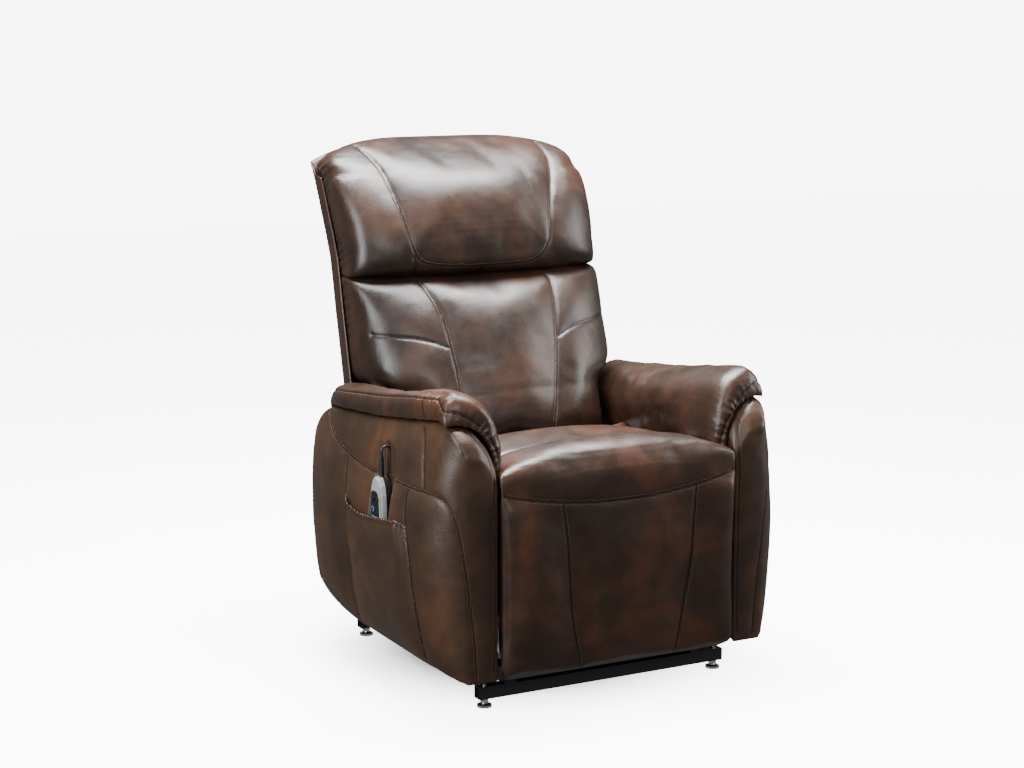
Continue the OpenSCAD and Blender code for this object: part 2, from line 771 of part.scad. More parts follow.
// ---- motors: an eye, a gearbox, a motor can beside it and an outer tube ----
module actuator(length, tube_end, bore_start, can_side) {
    difference() {
        union() {
            rotate([0, 90, 0]) translate([0, 0, -eye_w / 2]) cylinder(r = 12, h = eye_w);
            translate([-8, -8, 0]) cube([16, 16, 20]);
            translate([-20, -20, 14]) cube([40, 40, 62]);
            translate([can_side * 42, 0, 14]) cylinder(r = 21, h = 116);
            translate([can_side > 0 ? 10 : -52, -18, 18]) cube([42, 36, 40]);
            translate([0, 0, 14]) cylinder(r = 16, h = tube_end - 14);
        }
        rotate([0, 90, 0]) translate([0, 0, -20]) cylinder(r = small_pin_r + play, h = 40);
        translate([0, 0, bore_start]) cylinder(r = 10.2, h = length);
    }
}

module actuator_rod(length, rod_start) {
    pin_end = 18;
    translate([0, 0, rod_start]) cylinder(r = 10, h = length - rod_start - 6);
    translate([0, 0, length]) rotate([0, 90, 0]) {
        translate([0, 0, -eye_w / 2 + 0.3]) cylinder(r = 12, h = eye_w - 0.6);
        translate([0, 0, -pin_end]) cylinder(r = small_pin_r, h = 2 * pin_end);
        for (z = [-pin_end - 2, pin_end]) translate([0, 0, z]) cylinder(r = 8, h = 2);
    }
}

lift_length = norm(lift_rod_pivot - lift_motor_pivot);
foot_length = norm(foot_rod_pivot - foot_motor_pivot);
back_length = norm(back_rod_pivot - back_motor_pivot);
motor_black = "#1a1b1d";

module lift_motor() {
    placed(motor_black) along(lift_motor_x, lift_motor_pivot, lift_rod_pivot)
        actuator(lift_length, 188, 82, 1);
}

module lift_motor_rod() {
    placed(zinc) along(lift_motor_x, lift_motor_pivot, lift_rod_pivot)
        actuator_rod(lift_length, 86);
}

module back_motor() {
    placed(motor_black) along(back_motor_x, back_motor_pivot, back_rod_pivot)
        actuator(back_length, 220, 96, 1);
}

module back_motor_rod() {
    placed(zinc) along(back_motor_x, back_motor_pivot, back_rod_pivot)
        actuator_rod(back_length, 150);
}

module footrest_motor() {
    placed(motor_black) along(foot_motor_x, foot_motor_pivot, foot_rod_pivot)
        actuator(foot_length, 204, 90, -1);
}

module footrest_motor_rod() {
    placed(zinc) along(foot_motor_x, foot_motor_pivot, foot_rod_pivot)
        actuator_rod(foot_length, 94);
}

// ---- footrest ----
pad_front_y = -440;
board_front_y = -405;
board_rear_y = -392;

module footrest_board() {
    placed(timber) difference() {
        box(-250, 250, board_front_y, board_rear_y, footrest_low + 12, 414);
        for (x = [-130, 0, 130], z = [160, 330]) translate([x, board_front_y - 1, z])
            rotate([-90, 0, 0]) cylinder(r = 30, h = 20);
    }
}

function pad_outline(inset, y) = let (w = 267 - inset, low = footrest_low + inset,
    high = 424 - inset * 0.9, r = 34 - inset * 0.5, rt = 12)
    concat(
        [for (a = [90, 60, 30, 0]) [w - rt + rt * cos(a), y, high - rt + rt * sin(a)]],
        [[w, y, (low + high) / 2]],
        [for (a = [0, -22, -45, -68, -90]) [w - r + r * cos(a), y, low + r + r * sin(a)]],
        [[w * 0.4, y, low]], [[-w * 0.4, y, low]],
        [for (a = [-90, -112, -135, -158, -180]) [-w + r + r * cos(a), y, low + r + r * sin(a)]],
        [[-w, y, (low + high) / 2]],
        [for (a = [180, 150, 120, 90]) [-w + rt + rt * cos(a), y, high - rt + rt * sin(a)]]);

module footrest_pad() {
    placed(leather) loft([for (s = [[-440, 30], [-438, 18], [-433, 8], [-424, 2], [-414, 0],
        [-405.3, 1]]) pad_outline(s[1], s[0])]);
}

module footrest_bracket_plate() {
    difference() {
        yz_plate(bracket_plane, strip_t) {
            polygon([[board_rear_y, 195], [board_rear_y, 325], [coupler_end[0] + 11, 296],
                [stay_end[0] + 11, 222], [stay_end[0], 212]]);
            translate(coupler_end) circle(12);
            translate(stay_end) circle(12);
        }
        x_rod(coupler_end, small_pin_r + 0.3, 230, 260);
        x_rod(stay_end, small_pin_r + 0.3, 230, 260);
    }
}

module footrest_brackets() {
    placed(steel) {
        footrest_bracket_plate();
        mirrored() footrest_bracket_plate();
        box(-bracket_plane - strip_t, bracket_plane + strip_t, board_rear_y, board_rear_y + 3,
            245, 275);
        for (x = [-bracket_plane - strip_t, bracket_plane - 18])
            box(x, x + 22, board_rear_y, board_rear_y + 3, 195, 325);
    }
}

module swing_arm() {
    link(swing_pivot, swing_end, 11, arm_plane, strip_t, pin_r + play, small_pin_r + play);
}

module swing_arm_left() {
    placed(steel) swing_arm();
}

module swing_arm_right() {
    placed(steel) mirrored() swing_arm();
}

module drive_arm() {
    difference() {
        union() {
            strap(drive_pivot, drive_knee, 12, arm_plane, strip_t);
            strap(drive_knee, drive_end, 12, arm_plane, strip_t);
        }
        x_rod(drive_pivot, pin_r + play, 240, 262);
        x_rod(drive_knee, small_pin_r + play, 240, 262);
        x_rod(drive_end, small_pin_r + play, 240, 262);
    }
}

module drive_arm_left() {
    placed(steel) drive_arm();
}

module drive_arm_right() {
    placed(steel) mirrored() drive_arm();
}

// The tube turns both drive arms; its ears take the motor's pin in a slot
module footrest_torque_tube() {
    slot_a = foot_rod_pivot + [0, -0.6];
    slot_b = foot_rod_pivot + [0.25, 14.4];
    placed(steel) difference() {
        union() {
            x_rod(drive_pivot, 12.5, -arm_plane, arm_plane);
            for (side = [-eye_w / 2 - 0.5 - lug_t, eye_w / 2 + 0.5])
                yz_plate(foot_motor_x + side, lug_t)
                    polygon([[-330, 345], [-306, 350], [-284, 312], [-284, 282], [-291, 275],
                        [-308, 275], [-315, 282], [-318, 312]]);
        }
        x_rod(drive_pivot, 10, -arm_plane - 1, arm_plane + 1);
        strap(slot_a, slot_b, small_pin_r + 2.4, foot_motor_x - 30, 60);
    }
}

// Coupler and stay carry their rivets: outwards into the arms, inwards into the bracket
module rivet_out(p) {
    x_rod(p, small_pin_r, coupler_plane, arm_plane + strip_t + 0.3);
    x_rod(p, 7.5, arm_plane + strip_t + 0.3, arm_plane + strip_t + 1.5);
}

module rivet_in(p) {
    x_rod(p, small_pin_r, bracket_plane - 0.3, coupler_plane + strip_t);
    x_rod(p, 7.5, bracket_plane - 1.8, bracket_plane - 0.3);
}

module coupler() {
    strap(swing_end, drive_knee, 10, coupler_plane, strip_t);
    strap(drive_knee, coupler_end, 10, coupler_plane, strip_t);
    rivet_out(swing_end);
    rivet_out(drive_knee);
    rivet_in(coupler_end);
}

module coupler_left() {
    placed(steel) coupler();
}

module coupler_right() {
    placed(steel) mirrored() coupler();
}

module stay() {
    strap(drive_end, stay_end, 10, coupler_plane, strip_t);
    rivet_out(drive_end);
    rivet_in(stay_end);
}

module stay_left() {
    placed(steel) stay();
}

module stay_right() {
    placed(steel) mirrored() stay();
}

// ---- handset ----
cord_x = handset_rear_x + 5.5;
button_r = 6;
button_travel = 1;
button_places = [
    [handset_y - 10, handset_top - 44], [handset_y + 10, handset_top - 44],
    [handset_y - 10, handset_top - 65], [handset_y + 10, handset_top - 65]
];

// Outline in the YZ plane: narrow where the cord leaves, wide below
function handset_outline(g) = let (w = handset_w / 2 - g, top = handset_top - g, low = handset_low + g)
    concat([for (a = [0, 25, 50, 70, 90]) [handset_y + (w - 10) + 10 * cos(-a), low + 10 - 10 * sin(a)]],
        [for (a = [90, 70, 50, 25, 0]) [handset_y - (w - 10) - 10 * cos(-a), low + 10 - 10 * sin(a)]],
        [for (p = [[1, 60], [0.93, 34], [0.74, 15], [0.48, 5], [0.3, 0]]) [handset_y - w * p[0], top - p[1]]],
        [for (p = [[0.3, 0], [0.48, 5], [0.74, 15], [0.93, 34], [1, 60]]) [handset_y + w * p[0], top - p[1]]]);

module handset_front() {
    placed("#d9dadb") difference() {
        union() {
            yz_plate(handset_split_x - 9, 9) polygon(handset_outline(0));
            yz_plate(handset_front_x, 4.5) polygon(handset_outline(2.5));
        }
        for (p = button_places) x_rod(p, button_r + 0.3, handset_front_x - 1, handset_front_x + 5.2);
        // seat of the strain relief
        translate([handset_split_x + 1, handset_y, handset_top - 12]) cylinder(r = 5.2, h = 20);
    }
}

module handset_rear() {
    placed("#17181a") difference() {
        union() {
            yz_plate(handset_split_x, 10) polygon(handset_outline(0));
            yz_plate(handset_split_x + 9, 6) polygon(handset_outline(3));
        }
        translate([handset_split_x + 1, handset_y, handset_top - 12]) cylinder(r = 5.2, h = 20);
    }
}

module button(p) {
    placed("#20242c") {
        x_rod(p, button_r, handset_front_x - 1.5, handset_front_x + 4);
        x_rod(p, button_r - 2.2, handset_front_x - 2, handset_front_x - 1.5);
    }
}

module button_back_up() {
    button(button_places[0]);
}

module button_back_down() {
    button(button_places[1]);
}

module button_lift_up() {
    button(button_places[2]);
}

module button_lift_down() {
    button(button_places[3]);
}

relief_top = handset_top + 41;

module strain_relief() {
    placed("#141516") translate([handset_split_x + 1, handset_y, 0]) difference() {
        union() {
            translate([0, 0, handset_top - 12]) cylinder(r = 5, h = 14);
            translate([0, 0, handset_top]) cylinder(r1 = 5, r2 = 4, h = 41);
            for (i = [0:6]) translate([0, 0, handset_top + 4 + 5 * i]) cylinder(r = 5.4 - 0.13 * i, h = 2.4);
        }
        translate([0, 0, handset_top + 20]) cylinder(r = cord_d / 2, h = 40);
    }
}

// Cord: out of the strain relief, round a tight bend and down behind the handset
bend_r = (cord_x - handset_split_x - 1) / 2;
cord_route = concat(
    [for (z = [handset_top + 20, handset_top + 30, relief_top, relief_top + 8])
        [handset_split_x + 1, handset_y, z]],
    [for (a = [150, 120, 90, 60, 30]) [cord_x - bend_r + bend_r * cos(a), handset_y,
        relief_top + 10 + bend_r * sin(a)]],
    [for (z = [relief_top + 3, 470, 450, 420, 390, 360, 330, 300, 270, 240, 210, 180, 150, 130])
        [cord_x, handset_y, z]]);

module handset_cord() {
    placed("#101112") swept_tube(cord_route, cord_d / 2, 8);
}

base_front_bar();
base_rear_bar();
base_left_rail();
base_right_rail();
levelling_feet();
base_pivot_bolts();
power_supply();
lift_link_left();
lift_link_right();
lift_torque_tube();
front_link_left();
front_link_right();
mechanism_left_rail();
mechanism_right_rail();
front_cross_tube();
rear_cross_tube();
chair_pivot_bolts();
left_arm_frame();
right_arm_frame();
left_arm_cover();
right_arm_cover();
left_arm_pad();
right_arm_pad();
seat_frame();
seat_springs();
seat_cushion();
rear_panel();
control_box();
handset_pocket();
back_frame();
back_brackets();
outside_back();
head_cushion();
lumbar_cushion();
lift_motor();
lift_motor_rod();
back_motor();
back_motor_rod();
footrest_motor();
footrest_motor_rod();
footrest_board();
footrest_pad();
footrest_brackets();
swing_arm_left();
swing_arm_right();
drive_arm_left();
drive_arm_right();
footrest_torque_tube();
coupler_left();
coupler_right();
stay_left();
stay_right();
handset_front();
handset_rear();
button_back_up();
button_back_down();
button_lift_up();
button_lift_down();
strain_relief();
handset_cord();
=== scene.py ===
import json
import math

import bmesh
import bpy
import numpy as np
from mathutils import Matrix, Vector
from mathutils.bvhtree import BVHTree
from mathutils.kdtree import KDTree


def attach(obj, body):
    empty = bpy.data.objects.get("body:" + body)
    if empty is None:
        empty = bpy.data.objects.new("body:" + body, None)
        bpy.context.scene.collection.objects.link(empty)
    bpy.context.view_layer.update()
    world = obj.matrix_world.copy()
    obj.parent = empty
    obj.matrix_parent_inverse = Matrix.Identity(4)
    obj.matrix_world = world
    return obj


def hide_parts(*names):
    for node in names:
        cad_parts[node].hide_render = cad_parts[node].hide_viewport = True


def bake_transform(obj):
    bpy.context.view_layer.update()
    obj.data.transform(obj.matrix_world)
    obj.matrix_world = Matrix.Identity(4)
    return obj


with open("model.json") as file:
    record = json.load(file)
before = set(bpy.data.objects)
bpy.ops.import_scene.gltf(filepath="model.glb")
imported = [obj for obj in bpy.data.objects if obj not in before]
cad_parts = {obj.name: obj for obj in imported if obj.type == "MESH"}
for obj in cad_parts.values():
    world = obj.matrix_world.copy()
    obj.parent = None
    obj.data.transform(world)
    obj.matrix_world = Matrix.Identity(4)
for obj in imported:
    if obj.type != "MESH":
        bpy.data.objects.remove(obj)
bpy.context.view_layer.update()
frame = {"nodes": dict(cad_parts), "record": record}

# Sizes are in millimetres from here on, from the chair's own origin, which lies this far behind
# the frame's origin.
HOME_Y = 12.1


def metres(points):
    """From millimetres in the chair's own axes to metres in the frame's."""
    return (np.asarray(points, float) + (0, HOME_Y, 0)) / 1000


def millimetres(places):
    """From metres in the frame's axes to millimetres in the chair's own."""
    return np.asarray(places, float) * 1000 - (0, HOME_Y, 0)


def placed(name, data):
    """A new object in the scene."""
    piece = bpy.data.objects.new(name, data)
    bpy.context.collection.objects.link(piece)
    return piece


# ---------------------------------------------------------------- camera
CAMERA_AZIMUTH = -28.382
CAMERA_ELEVATION = 9.844
CAMERA_DISTANCE = 4.464
CAMERA_TARGET = Vector((-0.033, -0.0209, 0.577))
CAMERA_LENS = 74.34

camera = placed("camera", bpy.data.cameras.new("camera"))
bpy.context.scene.camera = camera
camera.data.lens = CAMERA_LENS
camera.data.sensor_width = 36
az, el = math.radians(CAMERA_AZIMUTH), math.radians(CAMERA_ELEVATION)
backwards = Vector((math.sin(az) * math.cos(el), -math.cos(az) * math.cos(el), math.sin(el)))
camera.location = CAMERA_TARGET + backwards * CAMERA_DISTANCE
camera.rotation_euler = (-backwards).to_track_quat("-Z", "Y").to_euler()

# ---------------------------------------------------------------- handset cord
HANDSET_Y = -172
RELIEF_X = -402
RELIEF_TOP = 483
CORD_X = -382.5
CORD_DIAMETER = 5
BEND = (CORD_X - RELIEF_X) / 2
BEND_Z = 493
CORD_ROUTE = [(RELIEF_X, HANDSET_Y, z) for z in (462, 472, RELIEF_TOP, 491)]
CORD_ROUTE += [(CORD_X - BEND + BEND * math.cos(math.radians(a)), HANDSET_Y,
                BEND_Z + BEND * math.sin(math.radians(a))) for a in (150, 120, 90, 60, 30)]
CORD_ROUTE += [(CORD_X, HANDSET_Y, z) for z in
               (486, 470, 450, 420, 390, 360, 330, 300, 270, 240, 210, 180, 150, 130)]


def cord_curve(name, route, diameter):
    curve = bpy.data.curves.new(name, "CURVE")
    curve.dimensions = "3D"
    curve.bevel_depth = diameter / 2000
    curve.bevel_resolution = 3
    curve.use_fill_caps = True
    curve.resolution_u = 6
    spline = curve.splines.new("BEZIER")
    spline.bezier_points.add(len(route) - 1)
    for point, place in zip(spline.bezier_points, metres(route)):
        point.co = place
        point.handle_left_type = point.handle_right_type = "AUTO"
    return placed(name, curve)


cord = cord_curve("handset_lead", CORD_ROUTE, CORD_DIAMETER)


# ---------------------------------------------------------------- materials
def linear(code):
    """sRGB hex to linear RGBA."""
    parts = [int(code[i:i + 2], 16) / 255 for i in (1, 3, 5)]
    return [c / 12.92 if c <= 0.04045 else ((c + 0.055) / 1.055) ** 2.4 for c in parts] + [1]


def add(tree, kind, settings=None, **inputs):
    """Adds a node: settings are its properties, inputs its sockets' values or links. A socket
    is named with _ for a space, or by its place as i0, i1 and so on."""
    node = tree.nodes.new(kind)
    for key, value in (settings or {}).items():
        setattr(node, key, value)
    for key, value in inputs.items():
        by_place = key[0] == "i" and key[1:].isdigit()
        socket = node.inputs[int(key[1:])] if by_place else node.inputs[key.replace("_", " ")]
        if isinstance(value, bpy.types.NodeSocket):
            tree.links.new(value, socket)
        else:
            socket.default_value = value
    return node


def new_material(name):
    """A bare material: itself, its tree, and the place on the piece."""
    mat = bpy.data.materials.new(name)
    mat.use_nodes = True
    tree = mat.node_tree
    tree.nodes.clear()
    return mat, tree, add(tree, "ShaderNodeTexCoord").outputs["Object"]


def noise(tree, place, scale, detail, **more):
    return add(tree, "ShaderNodeTexNoise", Vector=place, Scale=scale, Detail=detail,
               **more).outputs["Fac"]


def maths(tree, operation, *values):
    inputs = {f"i{k}": value for k, value in enumerate(values)}
    return add(tree, "ShaderNodeMath", {"operation": operation}, **inputs).outputs[0]


def mixed(tree, factor, first, second):
    return add(tree, "ShaderNodeMix", {"data_type": "RGBA"}, i0=factor, i6=first,
               i7=second).outputs[2]


def bump(tree, strength, depth_mm, height, **more):
    return add(tree, "ShaderNodeBump", Strength=strength, Distance=depth_mm / 1000, Height=height,
               **more).outputs["Normal"]


def ramp(tree, factor, stops):
    node = add(tree, "ShaderNodeValToRGB", Fac=factor)
    bar = node.color_ramp
    for i, (place, colour) in enumerate(stops):
        stop = bar.elements[i] if i < 2 else bar.elements.new(place)
        stop.position = place
        stop.color = linear(colour) if isinstance(colour, str) else [colour] * 3 + [1]
    return node.outputs["Color"]


PLASTIC_IOR = 1.5
# Colour of the seams: partly the hand-rubbed dye, partly painted shade of the seams' grooves
SEAM_DYE_AND_SHADE = "#0d0806"


def surface(mat, **inputs):
    shader = add(mat.node_tree, "ShaderNodeBsdfPrincipled", **inputs)
    add(mat.node_tree, "ShaderNodeOutputMaterial", Surface=shader.outputs["BSDF"])
    return mat


def leather(name, dark, brown, rust, rough):
    """Aniline-dyed cowhide, hand-rubbed to two tones: soft clouds of umber with hints of rust,
    darker in the seams (partly dye, partly painted shade of their grooves), a fine pebble grain
    and a broad greyish wax sheen."""
    mat, tree, place = new_material(name)
    seam = add(tree, "ShaderNodeAttribute", {"attribute_name": "seam"}).outputs["Fac"]
    # clouds of dye about 160 mm across, with blots of about 40 mm in them
    cloud = noise(tree, place, 6, 3, Roughness=0.5, Distortion=0.5)
    blot = noise(tree, place, 25, 4, Roughness=0.55, Distortion=0.2)
    tone = maths(tree, "MULTIPLY_ADD", blot, 0.3, cloud)
    dye = ramp(tree, tone, [(0.44, dark), (0.62, brown), (0.78, rust), (0.95, brown)])
    # darker towards the seams: partly dye, partly painted shade of the seams' grooves
    colour = mixed(tree, maths(tree, "MULTIPLY", seam, 0.8), dye, linear(SEAM_DYE_AND_SHADE))
    # pebbles of about 1.6 mm, drawn at 2.2 mm so that they show
    pebble = add(tree, "ShaderNodeTexVoronoi", {"feature": "SMOOTH_F1"}, Vector=place,
                 Scale=450, Smoothness=0.6).outputs["Distance"]
    pore = noise(tree, place, 900, 2)
    fine = maths(tree, "MULTIPLY_ADD", pore, 0.5, pebble)
    # slow waviness of a hide over foam, about 60 mm
    slow = bump(tree, 0.15, 5, noise(tree, place, 16, 2))
    grain = bump(tree, 0.3, 0.6, fine, Normal=slow)
    gloss = ramp(tree, blot, [(0.3, rough - 0.04), (0.7, rough + 0.06)])
    return surface(mat, Base_Color=colour, Roughness=gloss, IOR=PLASTIC_IOR,
                   Specular_IOR_Level=0.4, Normal=grain)


def coated(name, colour, rough, grain_mm=0.0, depth_mm=0.0, metal=0.0):
    """Paint, plastic or plating: one colour with slight unevenness, and a grain if it has one."""
    mat, tree, place = new_material(name)
    cloud = noise(tree, place, 30, 3)
    gloss = ramp(tree, cloud, [(0.3, max(rough - 0.05, 0.03)), (0.7, min(rough + 0.06, 1))])
    inputs = dict(Base_Color=linear(colour), Roughness=gloss, Metallic=metal)
    if metal < 1:
        inputs["IOR"] = PLASTIC_IOR
    if grain_mm:
        inputs["Normal"] = bump(tree, 0.4, depth_mm, noise(tree, place, 1000 / grain_mm, 2))
    return surface(mat, **inputs)


def sawn_wood(name, light, dark):
    """Birch plywood: fine long fibres along the board."""
    mat, tree, place = new_material(name)
    run = add(tree, "ShaderNodeMapping", Vector=place, Scale=(6, 60, 60)).outputs["Vector"]
    fibre = noise(tree, run, 3, 5, Distortion=0.4)
    colour = ramp(tree, fibre, [(0.35, dark), (0.65, light)])
    return surface(mat, Base_Color=colour, Roughness=0.7, Normal=bump(tree, 0.3, 0.4, fibre))


KEYPAD_MIDDLE = (0, HANDSET_Y + 4, 348)
KEYPAD_HALF = np.array((20.5, 66)) / 1000
KEYPAD_FLOOR_X = -412.5


def handset_lacquer(name, silver, navy):
    """Moulded ABS with silver lacquer; the raised keypad on its outer face is left navy and
    satin, in an oblong 41 mm wide with well rounded corners."""
    mat, tree, place = new_material(name)
    grow = 1 / KEYPAD_HALF
    middle = -metres(KEYPAD_MIDDLE)[1:] * grow
    oblong = add(tree, "ShaderNodeMapping", Vector=place, Scale=(0, *grow),
                 Location=(0, *middle)).outputs["Vector"]
    squared = add(tree, "ShaderNodeVectorMath", {"operation": "MULTIPLY"}, i0=oblong, i1=oblong)
    reach = add(tree, "ShaderNodeVectorMath", {"operation": "LENGTH"},
                i0=squared.outputs[0]).outputs["Value"]
    outwards = add(tree, "ShaderNodeSeparateXYZ", Vector=place).outputs["X"]
    keypad = maths(tree, "MULTIPLY", maths(tree, "LESS_THAN", reach, 1.0),
                   maths(tree, "LESS_THAN", outwards, KEYPAD_FLOOR_X / 1000))
    colour = mixed(tree, keypad, linear(silver), linear(navy))
    gloss = ramp(tree, noise(tree, place, 1400, 1), [(0.35, 0.26), (0.65, 0.34)])
    return surface(mat, Base_Color=colour, Roughness=gloss, Metallic=0.4, IOR=PLASTIC_IOR)


# One leather in three copies: the arms' sides and the pocket get a lighter copy, painted light as
# if lit from the left; the back's copy is a little darker
hide = leather("brown_leather", "#21160f", "#2d1d14", "#402517", 0.35)
hide_back = leather("brown_leather_back", "#1c1310", "#261a14", "#342117", 0.34)
side_hide_painted_lit = leather("brown_leather_side_painted_lit", "#281b12", "#332317", "#432b1a", 0.40)
black_paint = coated("black_powder_coat", "#101113", 0.45, 0.9, 0.05)
bright_zinc = coated("bright_zinc", "#c9ccd0", 0.25, metal=1.0)
chrome_plate = coated("chrome_plate", "#d8dadd", 0.12, metal=1.0)
black_abs = coated("black_abs", "#0e0f11", 0.42, 0.7, 0.04)
silver_abs = handset_lacquer("silver_lacquered_abs", "#b4b6b6", "#0c1326")
soft_pvc = coated("soft_pvc", "#0b0c0d", 0.45)
keypad_blue = coated("pale_blue_print", "#7fa3cc", 0.4)
lining = coated("dust_cloth", "#0e0c0b", 0.9, 0.8, 0.1)
thread = coated("waxed_polyester_thread", "#5d4132", 0.55)
plywood = sawn_wood("birch_plywood", "#c9a878", "#a8834f")
cord.data.materials.append(soft_pvc)

NODE_FINISH = {
    "plated_steel": chrome_plate, "zinc_steel": bright_zinc, "black_steel": black_paint,
    "black_plastic": black_abs, "timber": plywood, "silver_plastic": silver_abs,
    "handset_black": black_abs, "cord_rubber": soft_pvc, "leather": hide,
}
for part in frame["record"]["subparts"]:
    node_object = frame["nodes"][part["node"]]
    for material_slot in node_object.material_slots:
        material_slot.material = NODE_FINISH[part["material_slot"]]
for name in ("rear_panel", "back_frame", "footrest_board"):
    frame["nodes"][name].material_slots[0].material = lining


# ---------------------------------------------------------------- shape tools
def smooth(xs, ys, x):
    """Monotone cubic curve through the points (xs, ys)."""
    xs, ys, x = (np.asarray(v, float) for v in (xs, ys, x))
    step = np.diff(xs)
    slope = np.diff(ys) / step
    tangent = np.empty_like(ys)
    both = slope[:-1] * slope[1:]
    tangent[1:-1] = np.where(both > 0, 2 * both / (slope[:-1] + slope[1:] + 1e-12), 0)
    tangent[0], tangent[-1] = slope[0], slope[-1]
    i = np.clip(np.searchsorted(xs, x) - 1, 0, len(step) - 1)
    t = (x - xs[i]) / step[i]
    return ((1 + 2 * t) * (1 - t) ** 2 * ys[i] + t * (1 - t) ** 2 * step[i] * tangent[i]
            + t * t * (3 - 2 * t) * ys[i + 1] + t * t * (t - 1) * step[i] * tangent[i + 1])


def fade(x, start, end):
    """0 at start, 1 at end, eased."""
    t = np.clip((np.asarray(x, float) - start) / (end - start), 0, 1)
    return t * t * (3 - 2 * t)


def run_along(line):
    """Length of a line up to each of its points."""
    return np.concatenate([[0], np.cumsum(np.linalg.norm(np.diff(line, axis=0), axis=1))])


def row_of(x, y, z):
    """A row of points; a single number holds for all of them."""
    return np.stack(np.broadcast_arrays(x, y, z), axis=1).astype(float)


def through(points, count, closed=False):
    """Catmull-Rom curve through points, resampled at equal spacing."""
    p = np.asarray(points, float)
    ends = (p[-1:], p[:2]) if closed else (2 * p[:1] - p[1:2], 2 * p[-1:] - p[-2:-1])
    p = np.vstack([ends[0], p, ends[1]])
    pieces = []
    for a, b, c, d in zip(p, p[1:], p[2:], p[3:]):
        t = np.linspace(0, 1, 12, endpoint=False)[:, None]
        pieces.append(0.5 * (2 * b + (c - a) * t + (2 * a - 5 * b + 4 * c - d) * t ** 2
                             + (3 * b - a - 3 * c + d) * t ** 3))
    pieces.append(p[-2:-1])
    dense = np.vstack(pieces)
    run = run_along(dense)
    at = np.linspace(0, run[-1], count, endpoint=not closed)
    return np.stack([np.interp(at, run, dense[:, k]) for k in range(p.shape[1])], axis=1)


def mesh_piece(name, points, faces, material):
    """A mesh object from points in millimetres."""
    mesh = bpy.data.meshes.new(name)
    mesh.from_pydata(metres(points).tolist(), [], faces)
    mesh.materials.append(material)
    piece = placed(name, mesh)
    face_outwards(piece)
    return piece


def face_outwards(piece):
    work = bmesh.new()
    work.from_mesh(piece.data)
    bmesh.ops.recalc_face_normals(work, faces=work.faces)
    work.to_mesh(piece.data)
    work.free()
    piece.data.polygons.foreach_set("use_smooth", [True] * len(piece.data.polygons))


def grid_faces(m, n, wrap_rows=False, wrap_columns=True):
    """Quads over m rows of n points."""
    rows = m if wrap_rows else m - 1
    columns = n if wrap_columns else n - 1
    return [(i * n + j, (i + 1) % m * n + j, (i + 1) % m * n + (j + 1) % n, i * n + (j + 1) % n)
            for i in range(rows) for j in range(columns)]


def fold_ends(m, n):
    """Quads that close both ends of m folded rings, whose n points run out and back again."""
    return [(base + j, base + j + 1, base + n - 2 - j, base + n - 1 - j)
            for base in (0, (m - 1) * n) for j in range(n // 2 - 1)]


# How far in to its spine each ring lies that fills an end of a skin
END_STEPS = (0.06, 0.2, 0.45, 0.75, 0.97)


def skin(name, rings, material, dome=(0, 0), axis=1):
    """Closed skin over rings; each end is filled by rings that shrink to the ring's spine."""
    rings = [np.asarray(r, float) for r in rings]
    n = len(rings[0])

    def filled(ring, lift):
        low, high = ring.min(axis=0), ring.max(axis=0)
        half = (high - low) / 2
        across = [k for k in range(3) if k != axis]
        short = min(half[k] for k in across)
        spine = ring.copy()
        for k in across:
            mid = (low[k] + high[k]) / 2
            reach = half[k] - short
            spine[:, k] = np.clip(ring[:, k], mid - reach, mid + reach)
        out = []
        for t in END_STEPS:
            inner = ring + (spine - ring) * t
            inner[:, axis] += lift * (1 - (1 - t) ** 2)
            out.append(inner)
        return out

    rows = filled(rings[0], dome[0])[::-1] + rings + filled(rings[-1], dome[1])
    m = len(rows)
    points = np.vstack(rows + [rows[0].mean(axis=0, keepdims=True),
                               rows[-1].mean(axis=0, keepdims=True)])
    faces = grid_faces(m, n)
    faces += [(m * n, j, (j + 1) % n) for j in range(n)]
    faces += [(m * n + 1, (m - 1) * n + (j + 1) % n, (m - 1) * n + j) for j in range(n)]
    return mesh_piece(name, points, faces, material)


def vertex_data(piece, kind):
    v = np.empty(len(piece.data.vertices) * 3)
    piece.data.vertices.foreach_get(kind, v)
    return v.reshape(-1, 3)


def points_of(piece):
    return millimetres(vertex_data(piece, "co"))


def normals_of(piece):
    return vertex_data(piece, "normal")


def move_points(piece, points):
    piece.data.vertices.foreach_set("co", metres(points).ravel())
    piece.data.update()


def settle(piece):
    """Applies the piece's modifiers to its mesh."""
    depsgraph = bpy.context.evaluated_depsgraph_get()
    mesh = bpy.data.meshes.new_from_object(piece.evaluated_get(depsgraph))
    piece.modifiers.clear()
    piece.data = mesh
    mesh.polygons.foreach_set("use_smooth", [True] * len(mesh.polygons))


def even_mesh(piece, size):
    """Rebuilds the skin as even quads of the given size."""
    remesh = piece.modifiers.new("even", "REMESH")
    remesh.mode = "VOXEL"
    remesh.voxel_size = size / 1000
    settle(piece)
    ease = piece.modifiers.new("ease", "SMOOTH")
    ease.factor = 0.5
    ease.iterations = 3
    settle(piece)


def finer(piece):
    sub = piece.modifiers.new("finer", "SUBSURF")
    sub.levels = sub.render_levels = 1
    settle(piece)


def search_tree(piece):
    return BVHTree.FromObject(piece, bpy.context.evaluated_depsgraph_get())


def onto(tree, points):
    """Nearest points on the surface, and the normals there."""
    places, facing = [], []
    for p in metres(points):
        place, normal, _, _ = tree.find_nearest(Vector(p))
        places.append(np.array(place))
        facing.append(np.array(normal))
    return millimetres(places), np.array(facing)


def dense_line(points):
    """The line through the points, with a point every 2 mm."""
    return through(points, max(int(run_along(np.asarray(points, float))[-1] / 2), 4))


# Points farther than this from every seam aren't measured
SEAM_REACH = 90


